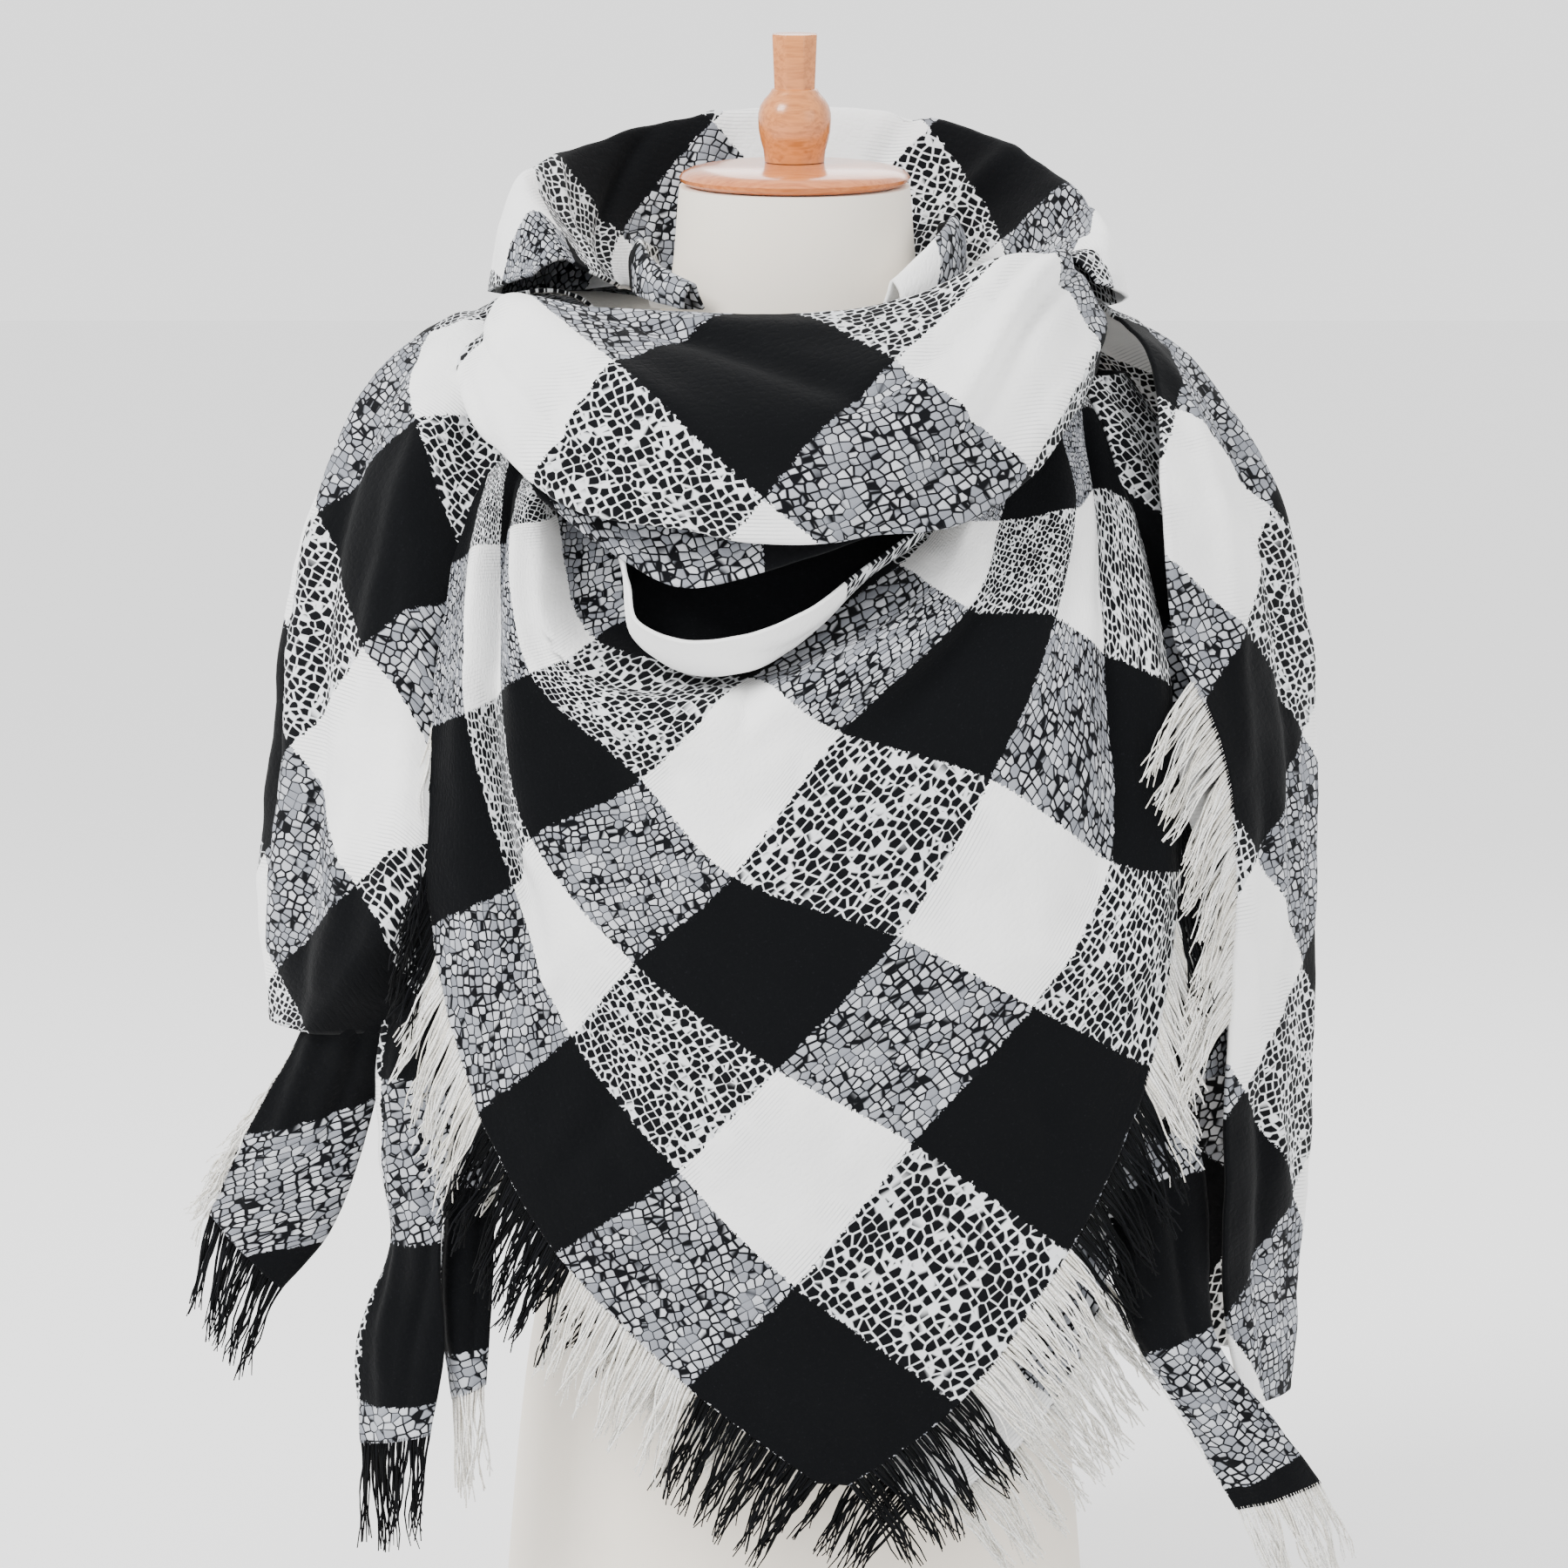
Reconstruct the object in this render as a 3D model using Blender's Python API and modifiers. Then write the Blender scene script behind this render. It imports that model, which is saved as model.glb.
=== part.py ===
"""A check blanket scarf wound over a countertop dress form, as closed solids.

The scarf is one square of brushed cloth, folded corner to corner. The triangle
hangs in front, the long ends go round the neck, cross behind and hang over the
shoulders. Each stretch that shows is its own wall of cloth. Every wall is set out
from one smooth drape around the form: a place on it has a turn (degrees, 0 in front,
plus towards +X, 180 behind), a height, and a distance out from the drape.
Tables are in millimetres and degrees; the model is in metres, +Z up, front at -Y.
"""
import math
from collections import namedtuple

import bmesh
import bpy
from mathutils import Vector
from mathutils.bvhtree import BVHTree

MM = 0.001
CLOTH = 2.6 * MM
SEAM = 0.3 * MM
FRINGE = 48 * MM
FRINGE_GAP = 0.7 * MM
ROUNDNESS = 2.2
CAP_TILT = math.radians(-6)
NECK_TOP = 785 * MM
CAP_RADIUS = 60 * MM
CAP_HEIGHT = 12 * MM
FINIAL_HEIGHT = 66 * MM
FORM_SIDES = 24
SEAT = 0.5 * MM
SEAT_LIMIT = 24 * MM
SEAT_STEPS = 25

COLLECTION = "blanket_scarf_on_dress_form"

Ring = namedtuple("Ring", "height half_width front back")
DRAPE = [
    Ring(50, 245, 150, 140),
    Ring(300, 250, 155, 140),
    Ring(450, 252, 155, 140),
    Ring(550, 248, 150, 135),
    Ring(620, 230, 143, 125),
    Ring(660, 212, 135, 126),
    Ring(700, 185, 124, 122),
    Ring(730, 140, 110, 112),
    Ring(780, 115, 98, 100),
    Ring(860, 108, 92, 90),
]

FORM = [
    Ring(0, 155, 105, 105),
    Ring(60, 152, 103, 103),
    Ring(170, 141, 95, 95),
    Ring(300, 118, 84, 84),
    Ring(390, 130, 94, 88),
    Ring(460, 150, 106, 94),
    Ring(540, 162, 98, 96),
    Ring(600, 172, 86, 90),
    Ring(635, 176, 78, 80),
    Ring(662, 164, 68, 72),
    Ring(682, 132, 62, 66),
    Ring(698, 100, 59, 62),
    Ring(714, 76, 58, 60),
    Ring(734, 65, 58, 58),
    Ring(785, 60, 60, 60),
]

# Each row is one line of the check, from the left selvedge (column 0) up to the
# right shoulder; a cell is the across, height place of a crossing of two lines.
BIB_LINES = [
    [(20, 131), (82, 177), (138, 253), (180, 344), (194, 443), (189, 538), (171, 624), (160, 672)],
    [(-54, 187), (0, 240), (59, 311), (119, 379), (161, 450), (158, 555), (154, 638), (146, 677)],
    [(-120, 253), (-59, 297), (-9, 350), (51, 416), (97, 494), (128, 573), (139, 625), (133, 668)],
    [(-159, 323), (-113, 364), (-80, 402), (-31, 446), (23, 518), (86, 579), (103, 622), (112, 660)],
    [(-182, 417), (-144, 438), (-130, 464), (-77, 494), (-23, 545), (53, 598), (77, 622), (90, 652)],
    [(-183, 517), (-163, 525), (-149, 536), (-131, 546), (-101, 561), (-27, 606), (30, 630), (60, 656)],
    [(-173, 598), (-161, 604), (-151, 610), (-141, 616), (-121, 622), (-70, 636), (-20, 646), (20, 664)],
    [(-162, 652), (-153, 654), (-144, 655), (-134, 655), (-118, 655), (-90, 658), (-50, 666), (-10, 680)],
]
# How many checks, counted both ways, the triangle shows above its tip, across it.
LEAN, LEAN_START, LEAN_END = 16, 560, 650
HOLLOW, HOLLOW_START, HOLLOW_END = 38, 3.6, 4.2
BIB_TOP = [6.8, 8.0, 8.8, 9.4, 9.8, 9.2, 8.8, 8.0, 6.7]

Corner = namedtuple("Corner", "across height out")
UNDER_RIGHT = [Corner(70, 115, -16), Corner(118, 152, -16), Corner(152, 208, -16), Corner(172, 300, -16)]
UNDER_LEFT = [Corner(70, 115, -16), Corner(-45, 203, -16), Corner(-108, 266, -16), Corner(-146, 335, -16)]

# Sections of the cowl from left to right, each with three places (across, front, height).
Band = namedtuple("Band", "rim belly hem")
COWL_FLAP = [
    Band((-150, 30, 716), (-163, 24, 700), (-159, 16, 684)),
    Band((-150, -30, 722), (-164, -46, 698), (-160, -60, 672)),
    Band((-134, -72, 729), (-151, -106, 698), (-145, -120, 655)),
    Band((-95, -95, 724), (-108, -146, 684), (-108, -158, 630)),
    Band((-45, -104, 720), (-50, -168, 676), (-40, -176, 616)),
    Band((15, -106, 720), (12, -174, 672), (18, -181, 614)),
    Band((65, -100, 729), (76, -160, 688), (82, -170, 622)),
    Band((108, -86, 748), (126, -124, 712), (124, -138, 646)),
    Band((140, -62, 750), (155, -82, 720), (150, -98, 680)),
    Band((148, -32, 738), (160, -46, 716), (158, -58, 690)),
]
COWL_ROLL = [
    Band((-124, -104, 656), (-134, -116, 642), (-128, -124, 630)),
    Band((-88, -120, 648), (-94, -138, 624), (-86, -150, 602)),
    Band((-50, -126, 642), (-56, -146, 614), (-54, -160, 588)),
    Band((-15, -126, 642), (-16, -148, 618), (-14, -162, 597)),
    Band((30, -126, 646), (32, -146, 628), (34, -158, 612)),
    Band((75, -118, 654), (80, -134, 640), (80, -142, 628)),
]
SWAG = [
    Band((-82, -117, 618), (-84, -136, 584), (-83, -158, 590)),
    Band((-74, -118, 626), (-76, -142, 560), (-78, -166, 570)),
    Band((-50, -118, 628), (-52, -146, 547), (-53, -172, 560)),
    Band((-20, -118, 628), (-20, -146, 550), (-20, -172, 564)),
    Band((10, -118, 630), (10, -144, 566), (10, -168, 578)),
    Band((38, -118, 632), (38, -139, 592), (38, -154, 598)),
]

# The stand-up part behind the neck: radius and height of its foot inside, its top
# fold and its outer edge, by turn.
Stand = namedtuple("Stand", "turn foot_radius foot top_radius top edge_radius edge")
COLLAR = [
    Stand(-84, 92, 738, 140, 788, 158, 736),
    Stand(-108, 88, 735, 137, 801, 160, 732),
    Stand(-134, 86, 733, 128, 817, 160, 724),
    Stand(-160, 86, 731, 120, 828, 160, 718),
    Stand(-186, 86, 730, 118, 831, 160, 716),
    Stand(-212, 86, 731, 126, 826, 162, 718),
    Stand(-238, 88, 733, 140, 808, 166, 722),
    Stand(-262, 92, 736, 152, 782, 172, 728),
    Stand(-278, 98, 740, 160, 762, 172, 734),
]
NECK_FOLD_LEFT = [
    Stand(-112, 74, 724, 78, 752, 82, 738),
    Stand(-88, 74, 722, 80, 756, 84, 736),
    Stand(-62, 72, 722, 80, 744, 90, 728),
    Stand(-40, 72, 722, 80, 734, 88, 722),
]
NECK_FOLD_RIGHT = [
    Stand(38, 72, 722, 80, 736, 88, 722),
    Stand(60, 72, 722, 82, 756, 92, 732),
    Stand(84, 74, 722, 82, 768, 88, 744),
    Stand(108, 76, 724, 80, 764, 86, 742),
]

# Hanging panels, one row for each level down: the turn of both edges and the way out.
# A level is set out from the drape, or from the form itself where the cloth rests on it.
Level = namedtuple("Level", "height first last out rings", defaults=(DRAPE,))
SHOULDER_LEFT = [
    Level(705, -92, -150, 1.8, FORM),
    Level(727, -88, -150, -30),
    Level(727, -82, -150, 5),
    Level(712, -74, -151, 15),
    Level(690, -62, -153, 17),
    Level(640, -52, -152, 18),
    Level(570, -47, -148, 17),
    Level(490, -46, -143, 18),
    Level(425, -47, -139, 24),
    Level(385, -54, -135, 25),
    Level(352, -64, -130, 25),
]
SHOULDER_RIGHT = [
    Level(705, 93, 152, 1.8, FORM),
    Level(727, 93, 152, -30),
    Level(727, 90, 152, 5),
    Level(708, 68, 152, 13),
    Level(680, 57, 154, 17),
    Level(625, 47, 154, 18),
    Level(560, 45, 152, 16),
    Level(500, 52, 150, 16),
    Level(440, 55, 146, 16),
    Level(360, 54, 142, 16),
    Level(290, 54, 138, 16),
    Level(220, 55, 133, 15),
    Level(155, 60, 127, 14),
]
SHOULDER_RIGHT_INNER = [
    Level(640, 60, 116, -12),
    Level(560, 55, 116, -10),
    Level(460, 48, 114, -10),
    Level(390, 48, 112, -10),
    Level(330, 50, 110, -10),
]
NAPE_WRAP = [
    Level(706, -157, -203, 1.2, FORM),
    Level(716, -157, -203, -24),
    Level(712, -156, -204, -10),
    Level(694, -144, -216, -6),
    Level(665, -134, -226, -3),
    Level(625, -138, -222, -2),
    Level(585, -150, -210, 0),
    Level(556, -164, -196, 0),
]
NAPE_CROSS = [
    Level(706, -180, -236, 26),
    Level(688, -164, -222, 27),
    Level(655, -150, -208, 28),
    Level(615, -142, -196, 28),
    Level(570, -138, -184, 28),
    Level(520, -138, -170, 26),
]

# Tails: left and right edge of each section, as across, front, height.
Strip = namedtuple("Strip", "left right")
TAIL_LEFT_OUTER = [
    Strip((-236, -74, 412), (-192, -94, 440)),
    Strip((-240, -68, 362), (-198, -86, 372)),
    Strip((-264, -54, 316), (-208, -62, 312)),
    Strip((-292, -40, 272), (-218, -52, 252)),
    Strip((-296, -34, 250), (-258, -46, 212)),
]
TAIL_LEFT_INNER = [
    Strip((-214, -70, 330), (-166, -90, 334)),
    Strip((-212, -72, 290), (-176, -100, 286)),
    Strip((-206, -76, 246), (-180, -104, 240)),
    Strip((-224, -80, 196), (-178, -102, 196)),
    Strip((-222, -80, 142), (-186, -98, 150)),
]
TAIL_LEFT_FOLD = [
    Strip((-178, -84, 322), (-150, -96, 326)),
    Strip((-174, -90, 270), (-148, -102, 270)),
    Strip((-176, -94, 214), (-150, -106, 214)),
    Strip((-170, -94, 166), (-154, -104, 176)),
]
TAIL_RIGHT = [
    Strip((150, -119, 300), (206, -85, 306)),
    Strip((158, -114, 252), (212, -86, 252)),
    Strip((172, -120, 206), (214, -118, 200)),
    Strip((196, -122, 162), (246, -112, 156)),
    Strip((226, -112, 112), (270, -98, 122)),
]

FINIAL = [(0, 66), (12.4, 66), (11.6, 40), (15.5, 33), (19, 24), (18.4, 14), (15.6, 5), (15.6, 0), (0, 0)]
CAP = [(0, 12), (30, 11.6), (50, 9.5), (58, 7), (60, 4.5), (58.5, 2), (54, 0), (0, 0)]


def clear_scene():
    """Remove every object that is already in the file."""
    for thing in list(bpy.data.objects):
        bpy.data.objects.remove(thing, do_unlink=True)


def make_material(name, colour, roughness):
    """Return a plain surface of one colour."""
    made = bpy.data.materials.new(name)
    made.use_nodes = True
    shader = made.node_tree.nodes["Principled BSDF"]
    shader.inputs["Base Color"].default_value = (*colour, 1)
    shader.inputs["Roughness"].default_value = roughness
    shader.inputs["Metallic"].default_value = 0
    made.diffuse_color = (*colour, 1)
    return made


def ease(value, start, end):
    """Rise softly from 0 at start to 1 at end."""
    part = min(max((value - start) / (end - start), 0), 1)
    return part * part * (3 - 2 * part)


def blend(before, start, end, after, part):
    """One smooth step between start and end that also heeds the places beside them."""
    return tuple(
        0.5 * (2 * s + (e - b) * part + (2 * b - 5 * s + 4 * e - a) * part ** 2
               + (3 * s - b - 3 * e + a) * part ** 3)
        for b, s, e, a in zip(before, start, end, after)
    )


def along(places, at):
    """The place at a fractional index of a list of places, on one smooth curve."""
    last = len(places) - 1
    first = min(int(at), last - 1)
    start, end = places[first], places[first + 1]
    before = places[first - 1] if first else tuple(2 * s - e for s, e in zip(start, end))
    after = places[first + 2] if first + 2 <= last else tuple(2 * e - s for s, e in zip(start, end))
    return blend(before, start, end, after, at - first)


def ring_at(rings, height):
    """Half width, front and back depth of a stack of rings at a height, in metres."""
    low = rings[0]
    for high in rings[1:]:
        if height * 1000 <= high.height:
            break
        low = high
    span = (height * 1000 - low.height) / max(high.height - low.height, 1)
    part = min(max(span, 0), 1)
    return [(a + (b - a) * part) * MM for a, b in zip(low[1:], high[1:])]


def around(turn, height, out=0, rings=DRAPE):
    """The place at a turn and height, moved out from the drape; mm in, metres out."""
    half_width, front, back = ring_at(rings, height * MM)
    angle = math.radians(turn)
    across, ahead = math.sin(angle), math.cos(angle)
    depth = front if ahead > 0 else back
    power = 2 / ROUNDNESS
    x = (half_width + out * MM) * math.copysign(abs(across) ** power, across)
    y = -(depth + out * MM) * math.copysign(abs(ahead) ** power, ahead)
    return Vector((x, y, height * MM))


def in_front(x, height, out=0):
    """The place in front of the form at an across and a height; mm in, metres out."""
    half_width, front, _back = ring_at(DRAPE, height * MM)
    share = min(abs(x) * MM / (half_width + out * MM), 0.999)
    ahead = (1 - share ** ROUNDNESS) ** (1 / ROUNDNESS)
    return Vector((x * MM, -(front + out * MM) * ahead, height * MM))


def bib_place(to_right, to_left):
    """A place on the triangle, by checks counted from its tip along both selvedges.

    It leans back above the chest, to pass behind the cowl, and falls back under the
    chin into the hollow behind the hanging fold.
    """
    lines = [along(line, to_right) for line in BIB_LINES]
    x, height = along(lines, to_left)
    lean = LEAN * ease(height, LEAN_START, LEAN_END)
    hollow = HOLLOW * ease(min(to_right, to_left), HOLLOW_START, HOLLOW_END)
    return in_front(x, height, -lean - hollow)


def bib(across, up):
    """The front triangle: across runs 0 to 1 between the selvedges, up from the tip."""
    share = 2 * across - 1
    reach, = along([(top,) for top in BIB_TOP], across * (len(BIB_TOP) - 1))
    total = 0.12 + (reach - 0.12) * up
    return bib_place(total * (1 + share) / 2, total * (1 - share) / 2)


def under(across, up):
    """The second layer of the triangle, which hangs a little to the right of the first."""
    last = len(UNDER_RIGHT) - 1
    tip = UNDER_RIGHT[0]
    right = along(UNDER_RIGHT, across * last)
    left = along(UNDER_LEFT, up * last)
    return in_front(*(r + l - t for r, l, t in zip(right, left, tip)))


def band(sections, top_turn, hem_turn):
    """A cowl surface through its sections, with both long edges turned in.

    top_turn and hem_turn are the (back, up) way in from the rim and the hem.
    """
    def place(across, down):
        at = across * (len(sections) - 1)
        rim = along([row.rim for row in sections], at)
        belly = along([row.belly for row in sections], at)
        hem = along([row.hem for row in sections], at)
        inner = (rim[0] * 0.97, rim[1] + top_turn[0], rim[2] + top_turn[1])
        tuck = (hem[0] * 0.97, hem[1] + hem_turn[0], hem[2] + hem_turn[1])
        return Vector(along([inner, rim, belly, hem, tuck], down * 4)) * MM
    return place


def swag(across, down):
    """The hanging fold under the chin, an open trough from its back to its lip."""
    at = across * (len(SWAG) - 1)
    back, floor, lip = (along([row[k] for row in SWAG], at) for k in range(3))
    return Vector(along([back, floor, lip], down * 2)) * MM


def stand(sections):
    """A standing fold around the neck: foot, top fold and outer edge by turn."""
    def place(across, over):
        row = Stand(*along(sections, across * (len(sections) - 1)))
        middle = (row.foot_radius * 0.45 + row.top_radius * 0.55, row.foot * 0.5 + row.top * 0.5)
        outer = (row.edge_radius * 0.45 + row.top_radius * 0.55 + 3, row.edge * 0.4 + row.top * 0.6)
        profile = [(row.foot_radius, row.foot), middle, (row.top_radius, row.top), outer,
                   (row.edge_radius, row.edge)]
        radius, height = along(profile, over * 4)
        angle = math.radians(row.turn)
        return Vector((radius * math.sin(angle), -radius * math.cos(angle), height)) * MM
    return place


def panel(levels):
    """A hanging panel through its levels, from its first edge round to its last."""
    def place(across, down):
        column = [around(row.first + (row.last - row.first) * across, row.height, row.out, row.rings)
                  for row in levels]
        return Vector(along(column, down * (len(levels) - 1)))
    return place


def strip(sections, bow=8):
    """A tail through its sections, bowed outwards between its two edges."""
    def place(across, down):
        at = down * (len(sections) - 1)
        left = along([row.left for row in sections], at)
        right = along([row.right for row in sections], at)
        x, y, z = (a + (b - a) * across for a, b in zip(left, right))
        return Vector((x, y - bow * math.sin(math.pi * across), z)) * MM
    return place


def fringe(surface, edge, inward, reach=FRINGE, droop=0.3):
    """A strip that carries a surface on past one of its edges.

    edge(share) gives the (across, down) place of the edge, inward(share) one just
    inside it; droop bends the free side down.
    """
    def place(share, out):
        start = surface(*edge(share))
        way = (start - surface(*inward(share))).normalized()
        way = (way + Vector((0, 0, -droop))).normalized()
        return start + way * (FRINGE_GAP + (reach - FRINGE_GAP) * out)
    return place


def put(name, mesh, material, collection):
    """Make one named object of a mesh in the object's collection."""
    made = bpy.data.objects.new(name, mesh)
    mesh.materials.append(material)
    collection.objects.link(made)
    return made


def cloth_wall(name, surface, columns, rows, material, collection):
    """Make a wall of cloth on a surface(across, down), both 0 to 1."""
    shape = bmesh.new()
    grid = [[shape.verts.new(surface(c / columns, r / rows)) for c in range(columns + 1)]
            for r in range(rows + 1)]
    for upper, lower in zip(grid, grid[1:]):
        for c in range(columns):
            shape.faces.new((upper[c], lower[c], lower[c + 1], upper[c + 1]))
    mesh = bpy.data.meshes.new(name)
    shape.to_mesh(mesh)
    shape.free()
    made = put(name, mesh, material, collection)
    wall = made.modifiers.new("thickness", "SOLIDIFY")
    wall.thickness = CLOTH
    wall.offset = 0
    return made


def places_and_tree(piece, graph):
    """Places on the edges of a piece as it stands, and a tree of its faces."""
    thing = piece.evaluated_get(graph)
    mesh = thing.to_mesh()
    mesh.calc_loop_triangles()
    corners = [thing.matrix_world @ corner.co for corner in mesh.vertices]
    ends = [(corners[edge.vertices[0]], corners[edge.vertices[1]]) for edge in mesh.edges]
    places = [start.lerp(end, step / 4) for start, end in ends for step in range(4)]
    tree = BVHTree.FromPolygons(corners, [tuple(face.vertices) for face in mesh.loop_triangles])
    thing.to_mesh_clear()
    return places, tree


def gap_between(moved, carriers, shift):
    """The least distance between two sets of measured pieces, the first one shifted."""
    least = SEAT_LIMIT
    for places, tree in moved:
        for other_places, other_tree in carriers:
            for place in places:
                found = other_tree.find_nearest(place + shift, least)[3]
                least = min(least, least if found is None else found)
            for place in other_places:
                found = tree.find_nearest(place - shift, least)[3]
                least = min(least, least if found is None else found)
    return least


def settle(moved, carriers, way):
    """Move pieces along a way, by no more than they are clear, until they rest on a carrier."""
    bpy.context.view_layer.update()
    graph = bpy.context.evaluated_depsgraph_get()
    sets = [[places_and_tree(piece, graph) for piece in pieces] for pieces in (moved, carriers)]
    way = Vector(way).normalized()
    shift = Vector((0, 0, 0))
    for _step in range(SEAT_STEPS):
        gap = gap_between(*sets, shift)
        if gap < SEAT + 0.1 * MM or shift.length > SEAT_LIMIT:
            break
        shift += way * (gap - SEAT)
    if shift.length > SEAT_LIMIT:
        return
    for piece in moved:
        piece.location += shift


def torso(material, collection):
    """Make the padded body of the form, with its flat underside and level neck top."""
    shape = bmesh.new()
    loops = []
    for row in FORM:
        loop = []
        for side in range(FORM_SIDES):
            place = around(360 * side / FORM_SIDES, row.height, 0, FORM)
            if row is FORM[-1]:
                place.z += place.y * math.tan(-CAP_TILT)
            loop.append(shape.verts.new(place))
        loops.append(loop)
    for low, high in zip(loops, loops[1:]):
        for side in range(FORM_SIDES):
            after = (side + 1) % FORM_SIDES
            shape.faces.new((low[side], low[after], high[after], high[side]))
    shape.faces.new(list(reversed(loops[0])))
    shape.faces.new(loops[-1])
    mesh = bpy.data.meshes.new("form_torso")
    shape.to_mesh(mesh)
    shape.free()
    return put("form_torso", mesh, material, collection)


def turned(name, profile, lift, sides, material, collection):
    """Make a turned wooden piece, tilted with the neck's top, from (radius, height) rows."""
    mesh = bpy.data.meshes.new(name)
    places = [(radius * MM, 0, height * MM) for radius, height in profile]
    mesh.from_pydata(places, [(k, k + 1) for k in range(len(places) - 1)], [])
    made = put(name, mesh, material, collection)
    lathe = made.modifiers.new("lathe", "SCREW")
    lathe.steps = sides
    lathe.render_steps = sides
    lathe.use_merge_vertices = True
    lathe.merge_threshold = 0.0001
    made.rotation_euler.x = -CAP_TILT
    made.location = Vector((0, -math.sin(-CAP_TILT), math.cos(CAP_TILT))) * lift
    made.location.z += NECK_TOP
    return made


def build_form(collection):
    """Make the torso, its wooden cap and the finial."""
    linen = make_material("form_cover", (0.89, 0.85, 0.78), 0.8)
    wood = make_material("turned_wood", (0.75, 0.38, 0.17), 0.35)
    torso(linen, collection)
    turned("form_cap", CAP, SEAM, 24, wood, collection)
    turned("form_finial", FINIAL, CAP_HEIGHT + 2 * SEAM, 16, wood, collection)


def build_front(black, grey, collection):
    """Make the two layers of the triangle and the fringe solids of their selvedges."""
    cloth_wall("bib_front", bib, 16, 18, black, collection)
    cloth_wall("bib_under", under, 8, 8, grey, collection)

    def bib_left(share):
        return bib_place(0, 0.12 + 5.2 * share)

    def bib_right(share):
        return bib_place(0.12 + 4.6 * share, 0)

    def hang(edge, inside):
        def place(share, out):
            way = (edge(share) - inside(share)).normalized() + Vector((0, 0, -0.35))
            return edge(share) + way.normalized() * (FRINGE_GAP + (FRINGE - FRINGE_GAP) * out)
        return place

    cloth_wall("bib_fringe_left",
               hang(bib_left, lambda share: bib_place(0.5, 0.12 + 5.2 * share)), 14, 1, grey, collection)
    cloth_wall("bib_fringe_right",
               hang(bib_right, lambda share: bib_place(0.12 + 4.6 * share, 0.5)), 14, 1, grey, collection)
    cloth_wall("under_fringe_right",
               fringe(under, lambda s: (0.03 + 0.65 * s, 0), lambda s: (0.03 + 0.65 * s, 0.1)), 8, 1, grey,
               collection)
    cloth_wall("under_fringe_left",
               fringe(under, lambda s: (0, 0.03 + 0.9 * s), lambda s: (0.1, 0.03 + 0.9 * s)), 8, 1, grey,
               collection)


def build_cowl(black, grey, collection):
    """Make the turned flap, the roll below it, the hanging fold and the stand-up collar."""
    cloth_wall("cowl_flap", band(COWL_FLAP, (16, -20), (22, 8)), 18, 8, black, collection)
    cloth_wall("cowl_roll", band(COWL_ROLL, (6, 10), (14, 8)), 10, 6, grey, collection)
    cloth_wall("cowl_swag", swag, 10, 8, black, collection)
    cloth_wall("collar", stand(COLLAR), 20, 8, grey, collection)
    cloth_wall("neck_fold_left", stand(NECK_FOLD_LEFT), 6, 6, grey, collection)
    cloth_wall("neck_fold_right", stand(NECK_FOLD_RIGHT), 6, 6, grey, collection)


def build_sides(black, grey, collection):
    """Make the panels over the shoulders, the wraps behind and the tails."""
    cloth_wall("shoulder_left", panel(SHOULDER_LEFT), 12, 20, grey, collection)
    cloth_wall("shoulder_right", panel(SHOULDER_RIGHT), 12, 24, black, collection)
    cloth_wall("shoulder_right_inner", panel(SHOULDER_RIGHT_INNER), 8, 8, grey, collection)
    cloth_wall("nape_wrap", panel(NAPE_WRAP), 14, 8, grey, collection)
    cloth_wall("nape_cross", panel(NAPE_CROSS), 8, 8, black, collection)
    tails = {
        "tail_left_outer": (TAIL_LEFT_OUTER, black),
        "tail_left_inner": (TAIL_LEFT_INNER, grey),
        "tail_left_fold": (TAIL_LEFT_FOLD, black),
        "tail_right": (TAIL_RIGHT, black),
    }
    for name, (sections, material) in tails.items():
        surface = strip(sections)
        cloth_wall(name, surface, 4, 8, material, collection)
        end = fringe(surface, lambda s: (s, 1), lambda s: (s, 0.93))
        cloth_wall(name + "_fringe", end, 4, 1, grey, collection)
    # The fringe takes six of the panel's twenty-four rows, so that their facets agree.
    front_edge = fringe(panel(SHOULDER_RIGHT), lambda s: (0, (11 + 6 * s) / 24),
                        lambda s: (0.05, (11 + 6 * s) / 24), droop=0)
    cloth_wall("shoulder_right_fringe", front_edge, 6, 1, grey, collection)


def seat(pieces):
    """Bring each stretch of cloth to rest on the one that carries it."""
    bib_parts = ("bib_front", "bib_fringe_left", "bib_fringe_right")
    under_parts = ("bib_under", "under_fringe_left", "under_fringe_right")
    shoulders = ("shoulder_left", "shoulder_right")
    rests = [
        (("cowl_flap",), shoulders + ("neck_fold_left", "neck_fold_right"), (-1, 0, 0)),
        (("cowl_roll",), ("cowl_flap",), (0, -1, 0.2)),
        (bib_parts, shoulders, (0, -1, 0)),
        (("cowl_swag",), ("bib_front",), (0, 1, 0)),
        (("shoulder_right_inner",), ("shoulder_right", "bib_front", "bib_fringe_right"), (0, -1, 0)),
        (("tail_right", "tail_right_fringe"),
         ("bib_front", "shoulder_right", "bib_fringe_right", "shoulder_right_inner"), (0, -1, 0)),
        (under_parts, ("bib_front", "tail_right"), (0, -1, 0)),
        (("tail_left_inner", "tail_left_inner_fringe"), ("bib_fringe_left", "shoulder_left"), (0, -1, 0)),
        (("tail_left_fold", "tail_left_fold_fringe"),
         ("bib_fringe_left", "bib_under", "under_fringe_left", "tail_left_inner"), (-0.4, -1, 0)),
        (("tail_left_outer", "tail_left_outer_fringe"),
         ("shoulder_left", "tail_left_inner", "bib_fringe_left"), (-1, -0.5, 0)),
        (("nape_cross",), shoulders, (0, -1, 0)),
        (("collar",), shoulders + ("nape_wrap", "nape_cross", "cowl_flap"), (0, 0, -1)),
    ]
    for moved, carriers, way in rests:
        settle([pieces[name] for name in moved], [pieces[name] for name in carriers], way)


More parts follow.
